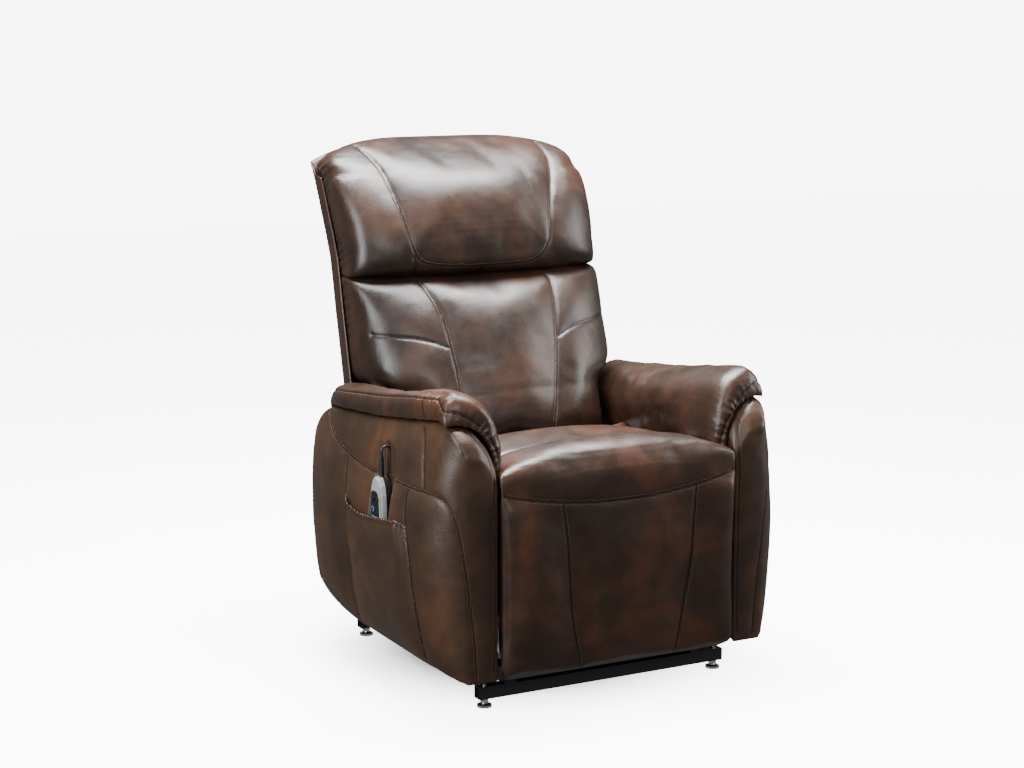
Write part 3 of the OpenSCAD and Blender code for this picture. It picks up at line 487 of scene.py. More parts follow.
def seam_distance(points, lines):
    """Distance of each point to the nearest line, and how far along the lines it lies."""
    cloud = np.vstack(lines)
    along = np.concatenate([run_along(line) for line in lines])
    tree = KDTree(len(cloud))
    for k, p in enumerate(cloud):
        tree.insert(p, k)
    tree.balance()
    distance = np.full(len(points), 1e3)
    place = np.zeros(len(points))
    low, high = cloud.min(axis=0) - SEAM_REACH, cloud.max(axis=0) + SEAM_REACH
    for i in np.flatnonzero(((points > low) & (points < high)).all(axis=1)):
        _, index, distance[i] = tree.find(points[i])
        place[i] = along[index]
    return distance, place


CLOTH_FRAMES = 20


def blow_up(piece, start, held, slack):
    """Cloth pass: leather with a little slack, blown up between the places where it is held."""
    move_points(piece, start)
    group = piece.vertex_groups.new(name="held")
    for level in range(1, 11):
        chosen = np.flatnonzero(np.round(held * 10) == level)
        group.add(chosen.tolist(), level / 10, "REPLACE")
    cloth = piece.modifiers.new("cloth", "CLOTH")
    rules = cloth.settings
    rules.quality = 4
    rules.mass = 0.4
    rules.tension_stiffness = rules.compression_stiffness = 15
    rules.shear_stiffness = 8
    rules.bending_stiffness = 1.5
    rules.use_pressure = True
    rules.uniform_pressure_force = 4
    rules.shrink_min = -slack
    rules.vertex_group_mass = "held"
    rules.effector_weights.gravity = 0
    cloth.collision_settings.use_collision = False
    cloth.point_cache.frame_start = 1
    cloth.point_cache.frame_end = CLOTH_FRAMES
    scene = bpy.context.scene
    for frame_number in range(1, CLOTH_FRAMES + 1):
        scene.frame_set(frame_number)
    depsgraph = bpy.context.evaluated_depsgraph_get()
    blown = piece.evaluated_get(depsgraph).to_mesh()
    moved = np.empty(len(blown.vertices) * 3)
    blown.vertices.foreach_get("co", moved)
    piece.evaluated_get(depsgraph).to_mesh_clear()
    piece.modifiers.remove(cloth)
    piece.vertex_groups.clear()
    scene.frame_set(1)
    return millimetres(moved.reshape(-1, 3))


# A cover swells no farther than the cap. Its push is evened over neighbouring points and scaled
# within limits, and a small share of the wrinkles is left in.
SWELL_CAP = 24.0
EVEN_ROUNDS = 24
PUSH_LIMITS = (0.2, 2.5)
WRINKLES_LEFT = 0.06
PINNED = 5
GROOVE, DIP = 3.2, 9
DARK_LINE = 2.6
GROOVE_DEPTH = 1.7


def near(distance, width):
    """1 on a line, falling off like a bell over the given width."""
    return np.exp(-(distance / width) ** 2)


# The mark darkens the leather along the seams: partly dye, partly painted shade of their grooves
def mark_seam_dye_and_shade(piece, values):
    mark = piece.data.attributes.new("seam", "FLOAT", "POINT")
    mark.data.foreach_set("value", values)


def evened(piece, values, rounds):
    """Averages a value over neighbouring points, round by round."""
    ends = np.empty(len(piece.data.edges) * 2, int)
    piece.data.edges.foreach_get("vertices", ends)
    a, b = ends.reshape(-1, 2).T
    n = len(values)
    neighbours = np.maximum(np.bincount(a, minlength=n) + np.bincount(b, minlength=n), 1)
    for _ in range(rounds):
        total = np.bincount(a, values[b], n) + np.bincount(b, values[a], n)
        values = 0.5 * values + 0.5 * total / neighbours
    return values


def upholster(piece, seams, swell, held, slack=0.015, size=6.0):
    """Makes a plain skin into a padded cover: it swells between its seams, then the seams are
    sewn in. held(points) is 1 where the cover is backed and stays as it is. Returns the lines
    of the seams on the finished skin."""
    even_mesh(piece, size)
    points = points_of(piece)
    facing = normals_of(piece)
    tree = search_tree(piece)
    lines = [onto(tree, dense_line(line))[0] for line in seams]
    distance, _ = seam_distance(points, lines)
    backed = np.clip(held(points), 0, 1)
    free = (1 - backed)[:, None]
    start = points - facing * 0.5 * swell * free
    pinned = np.maximum(backed, near(distance, PINNED))
    push = blow_up(piece, start, pinned, slack) - start
    outwards = (push * facing).sum(axis=1)
    loose = pinned < 0.1
    taut = facing * (evened(piece, outwards, EVEN_ROUNDS) * (1 - pinned))[:, None]
    push = taut + (push - taut) * WRINKLES_LEFT
    push *= np.clip(swell / max(outwards[loose].mean(), 0.1), *PUSH_LIMITS)
    length = np.linalg.norm(push, axis=1, keepdims=True)
    points = start + push * np.minimum(1, SWELL_CAP / np.maximum(length, 1e-6))
    move_points(piece, points)
    finer(piece)
    return sew(piece, lines)


def sew(piece, lines):
    """Draws the skin in along the lines, and marks how near a seam each point is, for the seams'
    dark dye and painted shade.
    """
    tree = search_tree(piece)
    lines = [onto(tree, line)[0] for line in lines]
    points = points_of(piece)
    distance, _ = seam_distance(points, lines)
    facing = normals_of(piece)
    depth = GROOVE_DEPTH * (near(distance, GROOVE) + 0.5 * near(distance, DIP))
    points -= facing * depth[:, None]
    move_points(piece, points)
    # dark line on the seam and a faint darkening over its dip: partly dye, partly painted shade of
    # the groove
    mark_seam_dye_and_shade(piece, near(distance, DARK_LINE) + 0.12 * near(distance, DIP))
    return lines


def pucker(piece, lines, depth, wave, reach, offset=0.0):
    """Gathers across the lines: ripples that fade out over the given reach."""
    points = points_of(piece)
    tree = search_tree(piece)
    lines = [onto(tree, dense_line(line))[0] for line in lines]
    distance, s = seam_distance(points, lines)
    phase = 2 * np.pi * (s + 3.1 * np.sin(s / 13) + 2.3 * np.sin(s / 7.3 + 1)) / wave
    strength = 0.6 + 0.4 * np.sin(s / 29 + offset)
    strength *= np.exp(-(np.maximum(distance - 3, 0) / reach) ** 1.3)
    ripple = np.sin(phase) + 0.35 * np.sin(2.3 * phase + 0.7)
    points += normals_of(piece) * (depth * ripple * strength)[:, None]
    move_points(piece, points)


# ---------------------------------------------------------------- stitches
def stitch_tree():
    """Geometry Nodes: a row of thread stitches along each edge chain of a mesh."""
    tree = bpy.data.node_groups.new("stitch_rows", "GeometryNodeTree")
    tree.interface.new_socket("Geometry", in_out="INPUT", socket_type="NodeSocketGeometry")
    for name in ("Pitch", "Stitch length", "Thread diameter"):
        tree.interface.new_socket(name, in_out="INPUT", socket_type="NodeSocketFloat")
    tree.interface.new_socket("Thread", in_out="INPUT", socket_type="NodeSocketMaterial")
    tree.interface.new_socket("Geometry", in_out="OUTPUT", socket_type="NodeSocketGeometry")
    given = tree.nodes.new("NodeGroupInput").outputs
    rows = add(tree, "GeometryNodeMeshToCurve", Mesh=given["Geometry"]).outputs["Curve"]
    marks = add(tree, "GeometryNodeCurveToPoints", {"mode": "LENGTH"}, Curve=rows,
                Length=given["Pitch"]).outputs
    bead = add(tree, "GeometryNodeMeshUVSphere", Segments=6, Rings=5, Radius=0.5).outputs["Mesh"]
    turn = add(tree, "FunctionNodeAlignRotationToVector", {"axis": "Z"},
               Vector=marks["Tangent"]).outputs["Rotation"]
    shape = add(tree, "ShaderNodeCombineXYZ", X=given["Thread diameter"],
                Y=given["Thread diameter"], Z=given["Stitch length"]).outputs["Vector"]
    sewn = add(tree, "GeometryNodeInstanceOnPoints", Points=marks["Points"], Instance=bead,
               Rotation=turn, Scale=shape).outputs["Instances"]
    solid = add(tree, "GeometryNodeRealizeInstances", Geometry=sewn).outputs["Geometry"]
    rounded = add(tree, "GeometryNodeSetShadeSmooth", Geometry=solid).outputs["Geometry"]
    done = add(tree, "GeometryNodeSetMaterial", Geometry=rounded,
               Material=given["Thread"]).outputs["Geometry"]
    out = tree.nodes.new("NodeGroupOutput")
    tree.links.new(done, out.inputs["Geometry"])
    return tree


STITCH_TREE = stitch_tree()


def beside(piece, lines, offset):
    """Rows on the skin, at a distance to one side of its seams."""
    tree = search_tree(piece)
    rows = []
    for line in lines:
        place, facing = onto(tree, line)
        tangent = np.gradient(place, axis=0)
        tangent /= np.linalg.norm(tangent, axis=1, keepdims=True) + 1e-9
        place, facing = onto(tree, place + np.cross(facing, tangent) * offset)
        rows.append(place + facing * 0.3)
    return rows


def stitches(name, rows):
    """One mesh of stitches, 5 mm apart and 3.6 mm long, in 1.1 mm thread."""
    points, edges = [], []
    for row in rows:
        first = len(points)
        points += metres(row).tolist()
        edges += [(first + k, first + k + 1) for k in range(len(row) - 1)]
    mesh = bpy.data.meshes.new(name)
    mesh.from_pydata(points, edges, [])
    piece = placed(name, mesh)
    rig = piece.modifiers.new("stitches", "NODES")
    rig.node_group = STITCH_TREE
    wanted = {"Pitch": 0.005, "Stitch length": 0.0036, "Thread diameter": 0.0011, "Thread": thread}
    for item in STITCH_TREE.interface.items_tree:
        if item.in_out == "INPUT" and item.name in wanted:
            rig[item.identifier] = wanted[item.name]
    settle(piece)
    return piece


# ---------------------------------------------------------------- back
REAR_Z = [420, 500, 567, 630, 710, 780, 830, 880, 930, 980, 1030, 1078]
REAR_Y = [201, 223, 241, 256, 276, 291, 303, 326, 351, 376, 403, 429]


def rear_y(z):
    """The back's rear face."""
    return np.interp(z, REAR_Z, REAR_Y)


def back_ring(z, w_front, w_rear, front, rear, edge, count=180):
    """Level outline of a back cushion: flat rear, square sides, and a full front."""
    angle = np.linspace(0, 2 * np.pi, 4 * count, endpoint=False)
    c, k = np.cos(angle), np.sin(angle)
    bulge = rear - edge - (rear - edge - front) * np.abs(k) ** 0.8
    y = np.where(k >= 0, np.minimum(rear, rear - edge + edge * 6 * k), bulge)
    half = w_front + (w_rear - w_front) * (y - front) / (rear - front)
    ring = row_of(half * np.sign(c) * np.abs(c) ** 0.65, y, z)
    return through(ring[::2], count, closed=True)


def back_cushion(name, levels, steps, material, dome):
    """levels: z, half width at the front and at the rear, front y, depth of the side edge,
    gap to the rear face."""
    table = np.array(levels, float)
    z = smooth(np.arange(len(table)), table[:, 0], np.linspace(0, len(table) - 1, steps))
    rest = [smooth(table[:, 0], table[:, k], z) for k in range(1, 6)]
    rings = [back_ring(z[i], rest[0][i], rest[1][i], rest[2][i], rear_y(z[i]) - rest[4][i],
                       rest[3][i]) for i in range(steps)]
    return skin(name, rings, material, dome=dome, axis=2)


HEAD_LEVELS = [
    [790, 297, 299, 184, 36, 35], [794, 306, 300, 162, 46, 35], [804, 303, 300, 141, 54, 35],
    [822, 297, 300, 133, 62, 35], [855, 295, 300, 134, 68, 35], [880, 299, 300, 141, 72, 35],
    [930, 308, 300, 166, 74, 35], [980, 313, 300, 204, 72, 35], [1001, 310, 300, 224, 70, 35],
    [1004, 309, 299, 227, 80, 12], [1025, 305, 297, 252, 76, 12], [1041, 305, 270, 276, 66, 12],
    [1043, 305, 266, 279, 66, 3], [1058, 292, 212, 304, 52, 4], [1070, 258, 150, 330, 36, 9],
    [1077, 200, 90, 352, 20, 16],
]
LUMBAR_LEVELS = [
    [434, 226, 226, -18, 30, 35], [438, 238, 238, -34, 44, 35], [450, 245, 244, -42, 60, 35],
    [480, 246, 244, -40, 76, 35], [520, 246, 244, -27, 80, 35], [544, 246, 250, -16, 82, 35],
    [556, 247, 264, -8, 82, 35], [569, 252, 284, -3, 80, 35], [582, 264, 297, 4, 78, 35],
    [610, 281, 300, 20, 76, 35], [655, 285, 300, 46, 76, 35], [690, 288, 300, 66, 74, 35],
    [725, 293, 300, 90, 72, 35], [755, 299, 300, 115, 66, 35], [776, 305, 300, 138, 58, 35],
    [788, 306, 300, 160, 48, 35], [793, 298, 299, 184, 36, 35],
]
head = back_cushion("head_cushion_cover", HEAD_LEVELS, 90, hide_back, dome=(-3, 0))
lumbar = back_cushion("lumbar_cushion_cover", LUMBAR_LEVELS, 110, hide_back, dome=(0, 3))

# Sewn lines of the head cushion: the headrest insert, and two short tucks below it
INSERT_SEAM = [
    (-223, 336, 1067), (-204, 259, 1026), (-196, 205, 976), (-188, 163, 917), (-181, 144, 877),
    (-170, 136, 842), (-148, 138, 822), (-91, 142, 814), (0, 142, 811), (82, 142, 813),
    (118, 140, 819), (138, 137, 832), (154, 136, 857), (162, 147, 889), (179, 177, 941),
    (218, 252, 1019), (224, 295, 1048), (223, 327, 1065),
]
HEAD_TUCKS = [
    [(-174, 140, 836), (-172, 142, 818), (-168, 160, 800)],
    [(-12, 142, 806), (-14, 160, 798)],
]
LUMBAR_SEAMS = [
    [(-158, 150, 779), (-142, 101, 736), (-136, 71, 695), (-135, 45, 649), (-135, 21, 607),
     (-136, 3, 569), (-137, -20, 520), (-138, -36, 470)],
    [(151, 149, 779), (154, 128, 765), (133, 68, 690), (114, 30, 626), (89, -11, 551),
     (72, -36, 493), (66, -40, 460)],
    [(-300, 118, 681), (-251, 81, 680), (-206, 67, 674), (-169, 56, 665), (-139, 47, 653)],
    [(128, 50, 659), (173, 63, 676), (250, 85, 688), (300, 120, 690)],
]


def rear_held(points):
    """The rear half of a back cushion rests on the frame; its ends meet the other cushion."""
    return fade(points[:, 1] - rear_y(points[:, 2]), -75, -50)


head_lines = upholster(head, [INSERT_SEAM] + HEAD_TUCKS, 4, rear_held)
lumbar_lines = upholster(lumbar, LUMBAR_SEAMS, 4.5, rear_held)


def side_line(side, heights):
    """Where a back cushion's side is gathered to its boxing."""
    return [(side * 299, rear_y(z) - 52, z) for z in heights]


for side in (-1, 1):
    pucker(head, [side_line(side, (1040, 1020, 990, 950, 900, 850, 810))], 1.2, 17, 26)
pucker(lumbar, [side_line(side, (780, 740, 700, 650)) for side in (-1, 1)], 0.9, 21, 22)

BACK_FOOT, BACK_SHOULDER = 470, 1029
BACK_SHEET = 2.5


def arch_top(x):
    """The back's arched top edge."""
    return 1073 - 44 * (np.abs(x) / 299) ** 3


def outside_back_leather():
    """Outside back with its side boxing: one sheet, 2.5 mm thick, down the rear face and round
    the sides to the cushions' seam."""
    def outline(w, front, inset):
        w -= inset
        side = [(w, front), (w, front * 0.66), (w, front * 0.33), (w - 1, -inset - BACK_SHEET),
                (w - 4, -inset)]
        return ([(-x, y) for x, y in side]
                + [(x, -inset) for x in np.linspace(8 - w, w - 8, 45)] + side[::-1])

    rows = []
    for t in np.linspace(0, 1, 110):
        z_side = BACK_FOOT + (BACK_SHOULDER - BACK_FOOT) * t
        w = 244 + 57.8 * float(fade(z_side, 534, 550))
        reach = -44 if z_side > 541 else -9
        if z_side > 1001:
            reach = -13 + 10 * float(fade(z_side, 1008, 1028))
        ring = []
        for inset, order in ((0, 1), (BACK_SHEET, -1)):
            for x, y in outline(w, reach, inset)[::order]:
                z = BACK_FOOT + (float(arch_top(x)) - inset - BACK_FOOT) * t
                ripple = 0.8 * math.sin(z / 3.1 + 1.3 * math.sin(z / 23))
                gathered = abs(x) > 290 and inset == 0
                ring.append((x + math.copysign(ripple * gathered, x), rear_y(z) + y, z))
        rows.append(ring)
    m, n = len(rows), len(rows[0])
    faces = grid_faces(m, n) + fold_ends(m, n)
    return mesh_piece("outside_back_leather", np.vstack(rows), faces, hide_back)


outside_back = outside_back_leather()


# ---------------------------------------------------------------- seat and footrest
def seam_height(x):
    """Height of the sewn seam between the seat and the footrest."""
    return 405.5 + 35 * (np.abs(x) / 272) ** 2


FOOT_FACE_Y = -440.6
FOOT_REAR_Y = -405.6
SEAT_UNDERSIDE = 447
FOOT_LOW = 64
COVER_HALF = 275
# How far the footrest's padding rounds back at its sides and foot, and the share by which it
# narrows at the foot's corners
BOARD_ROUND, FOOT_ROUND = 15, 26
FOOT_NARROW = 26 / 268
# Section of the seat from rear to front as y and z, then the crown's drop from the middle to
# the sides
SEAT_PATH = [
    (-54, 446), (-51, 460), (-60, 473), (-90, 483), (-140, 489), (-200, 496), (-248, 501),
    (-270, 500), (-283, 496), (-297, 503), (-330, 509), (-373, 510), (-398, 508),
    (-416, 502), (-429, 492), (-437, 479), (-440, 464), (-440.5, 450),
]
CROWN_U = [0, 0.3, 0.58, 0.8, 0.9, 0.96, 0.99, 1]
CROWN_DROP = [0, 1.5, 6, 14, 21, 28, 34, 41]
COLUMNS = 121
ACROSS = np.linspace(-1, 1, COLUMNS)
ACROSS = np.sign(ACROSS) * (1 - (1 - np.abs(ACROSS)) ** 1.35)


def cover_skin():
    """One closed cover: over the seat, down to the seam, down the footrest's padded face, up
    behind its board and back under the seat's foam."""
    path = through(SEAT_PATH, 150)
    tangent = np.gradient(path, axis=0)
    normal = np.stack([-tangent[:, 1], tangent[:, 0]], axis=1)
    normal /= np.linalg.norm(normal, axis=1, keepdims=True)
    normal *= np.sign((normal * [-0.5, 1]).sum(axis=1, keepdims=True))
    drop = smooth(CROWN_U, CROWN_DROP, np.abs(ACROSS))
    half = np.interp(-path[:, 0], [0, 398, 412, 440], [249, 249, 268, COVER_HALF])
    share = np.interp(-path[:, 0], [0, 60, 380, 425, 441], [0.7, 1, 1, 0.6, 0.3])
    rows = [row_of(half[i] * ACROSS, path[i, 0] - normal[i, 0] * drop * share[i],
                   path[i, 1] - normal[i, 1] * drop * share[i]) for i in range(len(path))]
    edge = 1 - np.abs(ACROSS)
    seat_round = rows[-1][:, 1] - FOOT_FACE_Y
    board_round = BOARD_ROUND * np.clip(1 - edge / 0.08, 0, 1) ** 2.2
    for z in np.linspace(SEAT_UNDERSIDE, FOOT_LOW, 110):
        t = float(fade(z, SEAT_UNDERSIDE, 395))
        side = seat_round * (1 - t) + board_round * t
        foot = FOOT_ROUND * max(0.0, 1 - (z - FOOT_LOW) / FOOT_ROUND) ** 2.2
        narrow = FOOT_NARROW * max(0.0, 1 - (z - FOOT_LOW) / 31) ** 2 * np.abs(ACROSS) ** 6
        y = FOOT_FACE_Y + np.maximum(side, foot) + 0.25 * np.minimum(side, foot)
        rows.append(row_of((COVER_HALF - 2 * t) * ACROSS * (1 - narrow), y, z))
    for z in (66, 90, 150, 220, 290, 350, 400, 432):
        rows.append(row_of(266 * ACROSS, FOOT_REAR_Y, z))
    for y in (-400, -300, -200, -95):
        rows.append(row_of(247 * ACROSS, y, SEAT_UNDERSIDE))
    m, n = len(rows), COLUMNS
    faces = grid_faces(m, n, wrap_rows=True, wrap_columns=False)
    faces += [tuple(i * n for i in range(m)), tuple(i * n + n - 1 for i in reversed(range(m)))]
    return mesh_piece("seat_and_footrest_cover", np.vstack(rows), faces, hide)


def cover_held(points):
    """Held where it is tacked to the seat's underside, its rear and the footrest's board."""
    y, z = points[:, 1], points[:, 2]
    under = fade(z, 462, 450) * (y > -400)
    board = fade(y, -416, -410) * fade(z, 452, 444)
    return np.maximum(np.maximum(under, board), fade(y, -75, -60))


def seat_foam():
    """Foam block under the cover, wrapped in black dust cloth."""
    rings = []
    for y in (-372, -370, -200, -70, -64):
        half = 246 if -371 < y < -65 else 243
        rings.append([(half, y, 393), (half, y, 446), (0, y, 446), (-half, y, 446),
                      (-half, y, 393), (0, y, 393)])
    return skin("seat_foam", rings, lining)


SEAT_CREASE = [(x, -283, 497 - 11 * (abs(x) / 249) ** 3)
               for x in (-240, -160, -80, 0, 80, 160, 240)]
FOOT_SEAMS = [
    [(-138, -440, 412), (-127, -440, 329), (-122, -440, 259), (-115, -440, 177),
     (-95, -440, 74)],
    [(169, -440, 417), (164, -440, 346), (158, -440, 264), (143, -440, 183),
     (132, -440, 122), (122, -440, 74)],
]
HINGE_SEAM = [(x, FOOT_FACE_Y, float(seam_height(x))) for x in np.linspace(-264, 264, 25)]
foam = seat_foam()
cover = cover_skin()
cover_lines = upholster(cover, [HINGE_SEAM, SEAT_CREASE] + FOOT_SEAMS, 5, cover_held)

# ---------------------------------------------------------------- arms
SIDES = ((1, "left"), (-1, "right"))
ARM_IN = 272.0
# Height of the arm's top and of its underside, from front to rear
SHOULDER = ([-424, -412, -390, -346, -235, -95, 29, 147, 180, 207, 245, 258, 265],
            [515, 545, 566, 578, 565, 549, 541, 532, 518, 501, 462, 448, 420])
UNDERSIDE = ([-424, -395, -350, -200, 0, 63, 141, 210, 226, 235, 253, 265],
             [70, 80, 90, 94, 98, 105, 121, 140, 154, 206, 310, 400])
# Where the chair's side bulges farthest, and how far it falls back at its foot and at its top
WIDEST_X, WIDEST_Z = 410, 320
FOOT_TUCK, TOP_TUCK = (26, 222), (44, 246)


def side_x(z):
    """Half width of the chair's side at a height."""
    off = np.asarray(z, float) - WIDEST_Z
    tuck, reach = (np.where(off < 0, *pair) for pair in zip(FOOT_TUCK, TOP_TUCK))
    return WIDEST_X - tuck * (off / reach) ** 2


def shoulder(y):
    """Height of the arm's top."""
    return np.interp(y, *SHOULDER)


def corner(y):
    """Rounds the arm's outer corners at the front and the rear."""
    if y < -298:
        return math.sqrt(max(0.02, 1 - ((-298 - y) / 126) ** 2))
    if y > 40:
        return math.sqrt(max(0.05, 1 - ((y - 40) / 245) ** 2))
    return 1.0


def arm_ring(y, count=150):
    """Upright outline of the left arm across the chair."""
    top, low = shoulder(y), float(np.interp(y, *UNDERSIDE))
    tall = top - low
    r, w = min(80, tall * 0.45), 62
    ring = [(ARM_IN, low + tall * 0.03), (ARM_IN, low + tall * 0.4), (ARM_IN, top - r)]
    for a in (160, 135, 112, 90):
        a = math.radians(a)
        ring.append((ARM_IN + w + w * math.cos(a), top - r + r * math.sin(a)))
    ring += [(ARM_IN + 70, top), (side_x(top) - 12, top - 1), (side_x(top - 8), top - 8)]
    ring += [(side_x(low + tall * k), low + tall * k)
             for k in (0.86, 0.72, 0.58, 0.44, 0.3, 0.17, 0.06)]
    ring += [(side_x(low) - 8, low), (ARM_IN + 40, low), (ARM_IN + 8, low)]
    x, z = through(ring, count, closed=True).T
    flat = ARM_IN + w
    x = np.where(x <= flat, x, flat + (x - flat) * corner(y))
    return row_of(np.maximum(x, ARM_IN + 0.2), y, z)


def arm_skin(name, side):
    front = -424 + 126 * (1 - np.cos(np.linspace(0, np.pi / 2, 34)))
    rear = 150 + 115 * np.sin(np.linspace(0, np.pi / 2, 26))
    y = np.concatenate([front, np.linspace(-290, 146, 60), rear])
    return skin(name, [arm_ring(v) * (side, 1, 1) for v in y], side_hide_painted_lit, dome=(-2, 2))


def arm_held(points):
    """The arm's inner side and underside lie on its frame, and its top is under the pad."""
    x, y, z = points.T
    under = fade(z - np.interp(y, *UNDERSIDE), 14, 4)
    over = fade(z - shoulder(y), -16, -4)
    return np.maximum(fade(np.abs(x), 292, 280), np.maximum(under, over))


# Sewn lines of the right arm; the left arm has them mirrored
ARM_SWEEP = [
    (-378, 150, 522), (-386, 122, 497), (-396, 74, 474), (-404, 1, 457), (-408, -105, 446),
    (-408, -205, 445), (-407, -278, 444), (-395, -347, 444), (-380, -386, 436), (-366, -407, 412),
    (-356, -415, 380), (-345, -420, 310), (-333, -422, 218), (-325, -422, 153), (-321, -422, 84),
]
ARM_FRONT_SEAM = [(-383, -293, 566), (-390, -312, 538), (-398, -332, 486), (-400, -343, 448)]
ARM_FACING_SEAM = [(-352, -369, 568), (-319, -392, 557), (-292, -402, 533),
                  (-284, -413, 505), (-283, -422, 440), (-282, -422, 300), (-282, -422, 196),
                  (-284, -420, 90)]
ARM_REAR_SEAM = [(-404, 10, 455), (-408, 1, 402), (-410, 0, 377), (-410, -8, 320),
                 (-408, -20, 259), (-402, -16, 193), (-396, -18, 108)]
ARM_FORE_SEAM = [(-404, -283, 444), (-407, -280, 405), (-409, -288, 359), (-409, -305, 303),
                 (-403, -315, 225), (-395, -322, 147), (-390, -326, 104)]
ARM_SEAMS = [ARM_SWEEP, ARM_FRONT_SEAM, ARM_FACING_SEAM, ARM_REAR_SEAM, ARM_FORE_SEAM]
# How far out the leather may reach behind the handset and behind its cord
HANDSET_HOLLOW_X, CORD_HOLLOW_X = -386.6, -377.5


def handset_hollow(piece):
    """The right arm's side is drawn in behind the handset, and more so behind its cord."""
    points = points_of(piece)
    x, y, z = points.T
    off = np.abs(y - HANDSET_Y)
    beyond = np.maximum(fade(z, 276, 254), fade(z, 498, 516))
    wide = np.maximum(fade(off, 27, 52), beyond)
    narrow = np.maximum(fade(off, 5, 11), beyond)
    for limit, stay in ((HANDSET_HOLLOW_X, wide), (CORD_HOLLOW_X, narrow)):
        x = np.where((x < limit) & (x > -430), limit + (x - limit) * stay, x)
    move_points(piece, row_of(x, y, z))


arms, arm_lines = {}, {}
for side, word in SIDES:
    lines = [[(-side * x, y, z) for x, y, z in line] for line in ARM_SEAMS]
    arms[side] = arm_skin(f"{word}_arm_leather", side)
    arm_lines[side] = upholster(arms[side], lines, 4, arm_held, size=6.5)
plain_side = search_tree(arms[-1])
handset_hollow(arms[-1])

# How full the pad is from front to rear, and where the seam of its band lies: above the arm's
# top and in from its side
PAD_Y = [-376, -371, -362, -346, -318, -235, -165, -95, -30, 29, 90, 130, 147, 180, 203]
PAD_FULL = [0.66, 0.85, 1.10, 1.14, 1.18, 1.24, 1.21, 1.16, 1.12, 1.07, 1.02, 0.97, 0.9, 0.8, 0.6]
WELT_RISE, WELT_IN = 37, 3


def pad_fullness(y):
    """How full the pad is at a place, with both ends rounded off."""
    if y < -358:
        return 1.11 * math.sqrt(max(0.02, 1 - ((-358 - y) / 27) ** 2))
    if y > 130:
        return 0.97 * math.sqrt(max(0.03, 1 - ((y - 130) / 82) ** 2.6))
    return float(smooth(PAD_Y, PAD_FULL, y))


def pad_in(x, y):
    """Rounds the pad's outer corner at the rear."""
    round_off = math.sqrt(max(0.05, 1 - ((y - 50) / 160) ** 2)) if y > 50 else 1.0
    flat = ARM_IN + 48
    return np.where(x <= flat, x, flat + (x - flat) * round_off)


def pad_ring(y, full, side, count=150):
    """Saddle over the arm: drape on the inner side, crown, and a rolled band outside."""
    top = float(shoulder(y)) + 0.5
    lip = float(side_x(top))
    r, w, inner_x = 80, 62.5, ARM_IN - 0.5
    hem = min(457, top - 106)
    middle = (hem + top - 82) / 2
    inner = [(inner_x, hem), (inner_x, middle), (inner_x, top - 82)]
    outer = [(inner_x - 12 * full, hem - 3), (inner_x - 19 * full, middle),
             (inner_x - 21 * full, top - 81)]
    for a, thick in ((160, 24), (135, 34), (112, 44), (90, 50)):
        c, s = math.cos(math.radians(a)), math.sin(math.radians(a))
        inner.append((inner_x + w + w * c, top - r + r * s))
        outer.append((inner_x + w + (w + thick * full) * c, top - r + (r + thick * full) * s))
    inner += [(inner_x + 68, top), (lip - 15, top), (lip - 6, top)]
    outer += [(inner_x + 68, top + 50 * full), (lip - 28, top + 48.5 * full),
              (lip - 12, top + 44 * full), (lip - WELT_IN, top + WELT_RISE * full),
              (lip + 3, top + 27 * full), (lip + 6, top + 15 * full), (lip + 5, top + 4),
              (lip + 0.5, top - 1)]
    x, z = through(outer + inner[::-1], count, closed=True).T
    x = pad_in(x, y)
    # towards the front the rings lean forward on the inner side
    lean = max(0.0, min(1.0, (-280 - y) / 96))
    leaning_y = y - 0.17 * (362 - x) * lean
    rise = np.maximum(0, shoulder(leaning_y) - shoulder(y)) + 2 * lean
    return row_of((x - lean) * side, leaning_y, z + rise)


def pad_skin(name, side):
    stations = np.concatenate([-384 + 38 * (1 - np.cos(np.linspace(0.12, np.pi / 2, 16))),
                               np.linspace(-340, 126, 70),
                               130 + 81 * np.sin(np.linspace(0, np.pi / 2, 22))])
    rings = [pad_ring(y, pad_fullness(y), side) for y in stations]
    m, n = len(rings), len(rings[0])
    return mesh_piece(name, np.vstack(rings), grid_faces(m, n) + fold_ends(m, n), hide)


def pad_welt(side):
    """Seam between the pad's crown and its band: along the side, round the front and down to
    the inner tip."""
    line = []
    for y in (206, 190, 160, 120, 60, 0, -60, -120, -180, -240, -300, -335):
        top = float(shoulder(y))
        x = float(pad_in(side_x(top) - WELT_IN, y))
        line.append((side * x, y, top + WELT_RISE * pad_fullness(y)))
    line += [(side * x, y, z) for x, y, z in
             ((362, -366, 602), (344, -378, 598), (320, -386, 588), (298, -392, 572),
              (278, -396, 548), (262, -396, 516), (254, -392, 480))]
    return line


def pad_held(points):
    """The pad lies on the arm: its underside and inner face don't swell."""
    x, y, z = points.T
    under = fade(z - shoulder(y), 6, 2) * fade(np.abs(x), 268, 274)
    return np.maximum(under, fade(z, 456, 448))


pads, pad_lines = {}, {}
for side, word in SIDES:
    piece = pad_skin(f"{word}_arm_pad_leather", side)
    welt = pad_welt(side)
    band_seam = [(side * 374, -276, 612), (side * 376, -285, 596), (side * 374, -294, 578)]
    pad_lines[side] = upholster(piece, [welt, band_seam], 4, pad_held, slack=0.01, size=5.0)
    pucker(piece, [welt[10:]], 1.1, 16, 18, offset=0.5)
    pucker(piece, [welt[9:11]], 0.8, 19, 16)
    pads[side] = piece

# ---------------------------------------------------------------- handset pocket
# Its sides, as y over z, and its mouth, as z over y
POCKET_FRONT = ([104, 147, 225, 303, 359, 377], [-326, -322, -315, -305, -288, -283])
POCKET_REAR = ([104, 193, 259, 320, 377], [-18, -16, -20, -8, 0])
POCKET_MOUTH = ([-283, -258, -222, -149, -100, -53, 0], [366, 371, 366, 358, 354, 360, 377])
POCKET_LOW = 106
POCKET_SHEET = 1.8
POCKET_STITCH_DOWN = 7
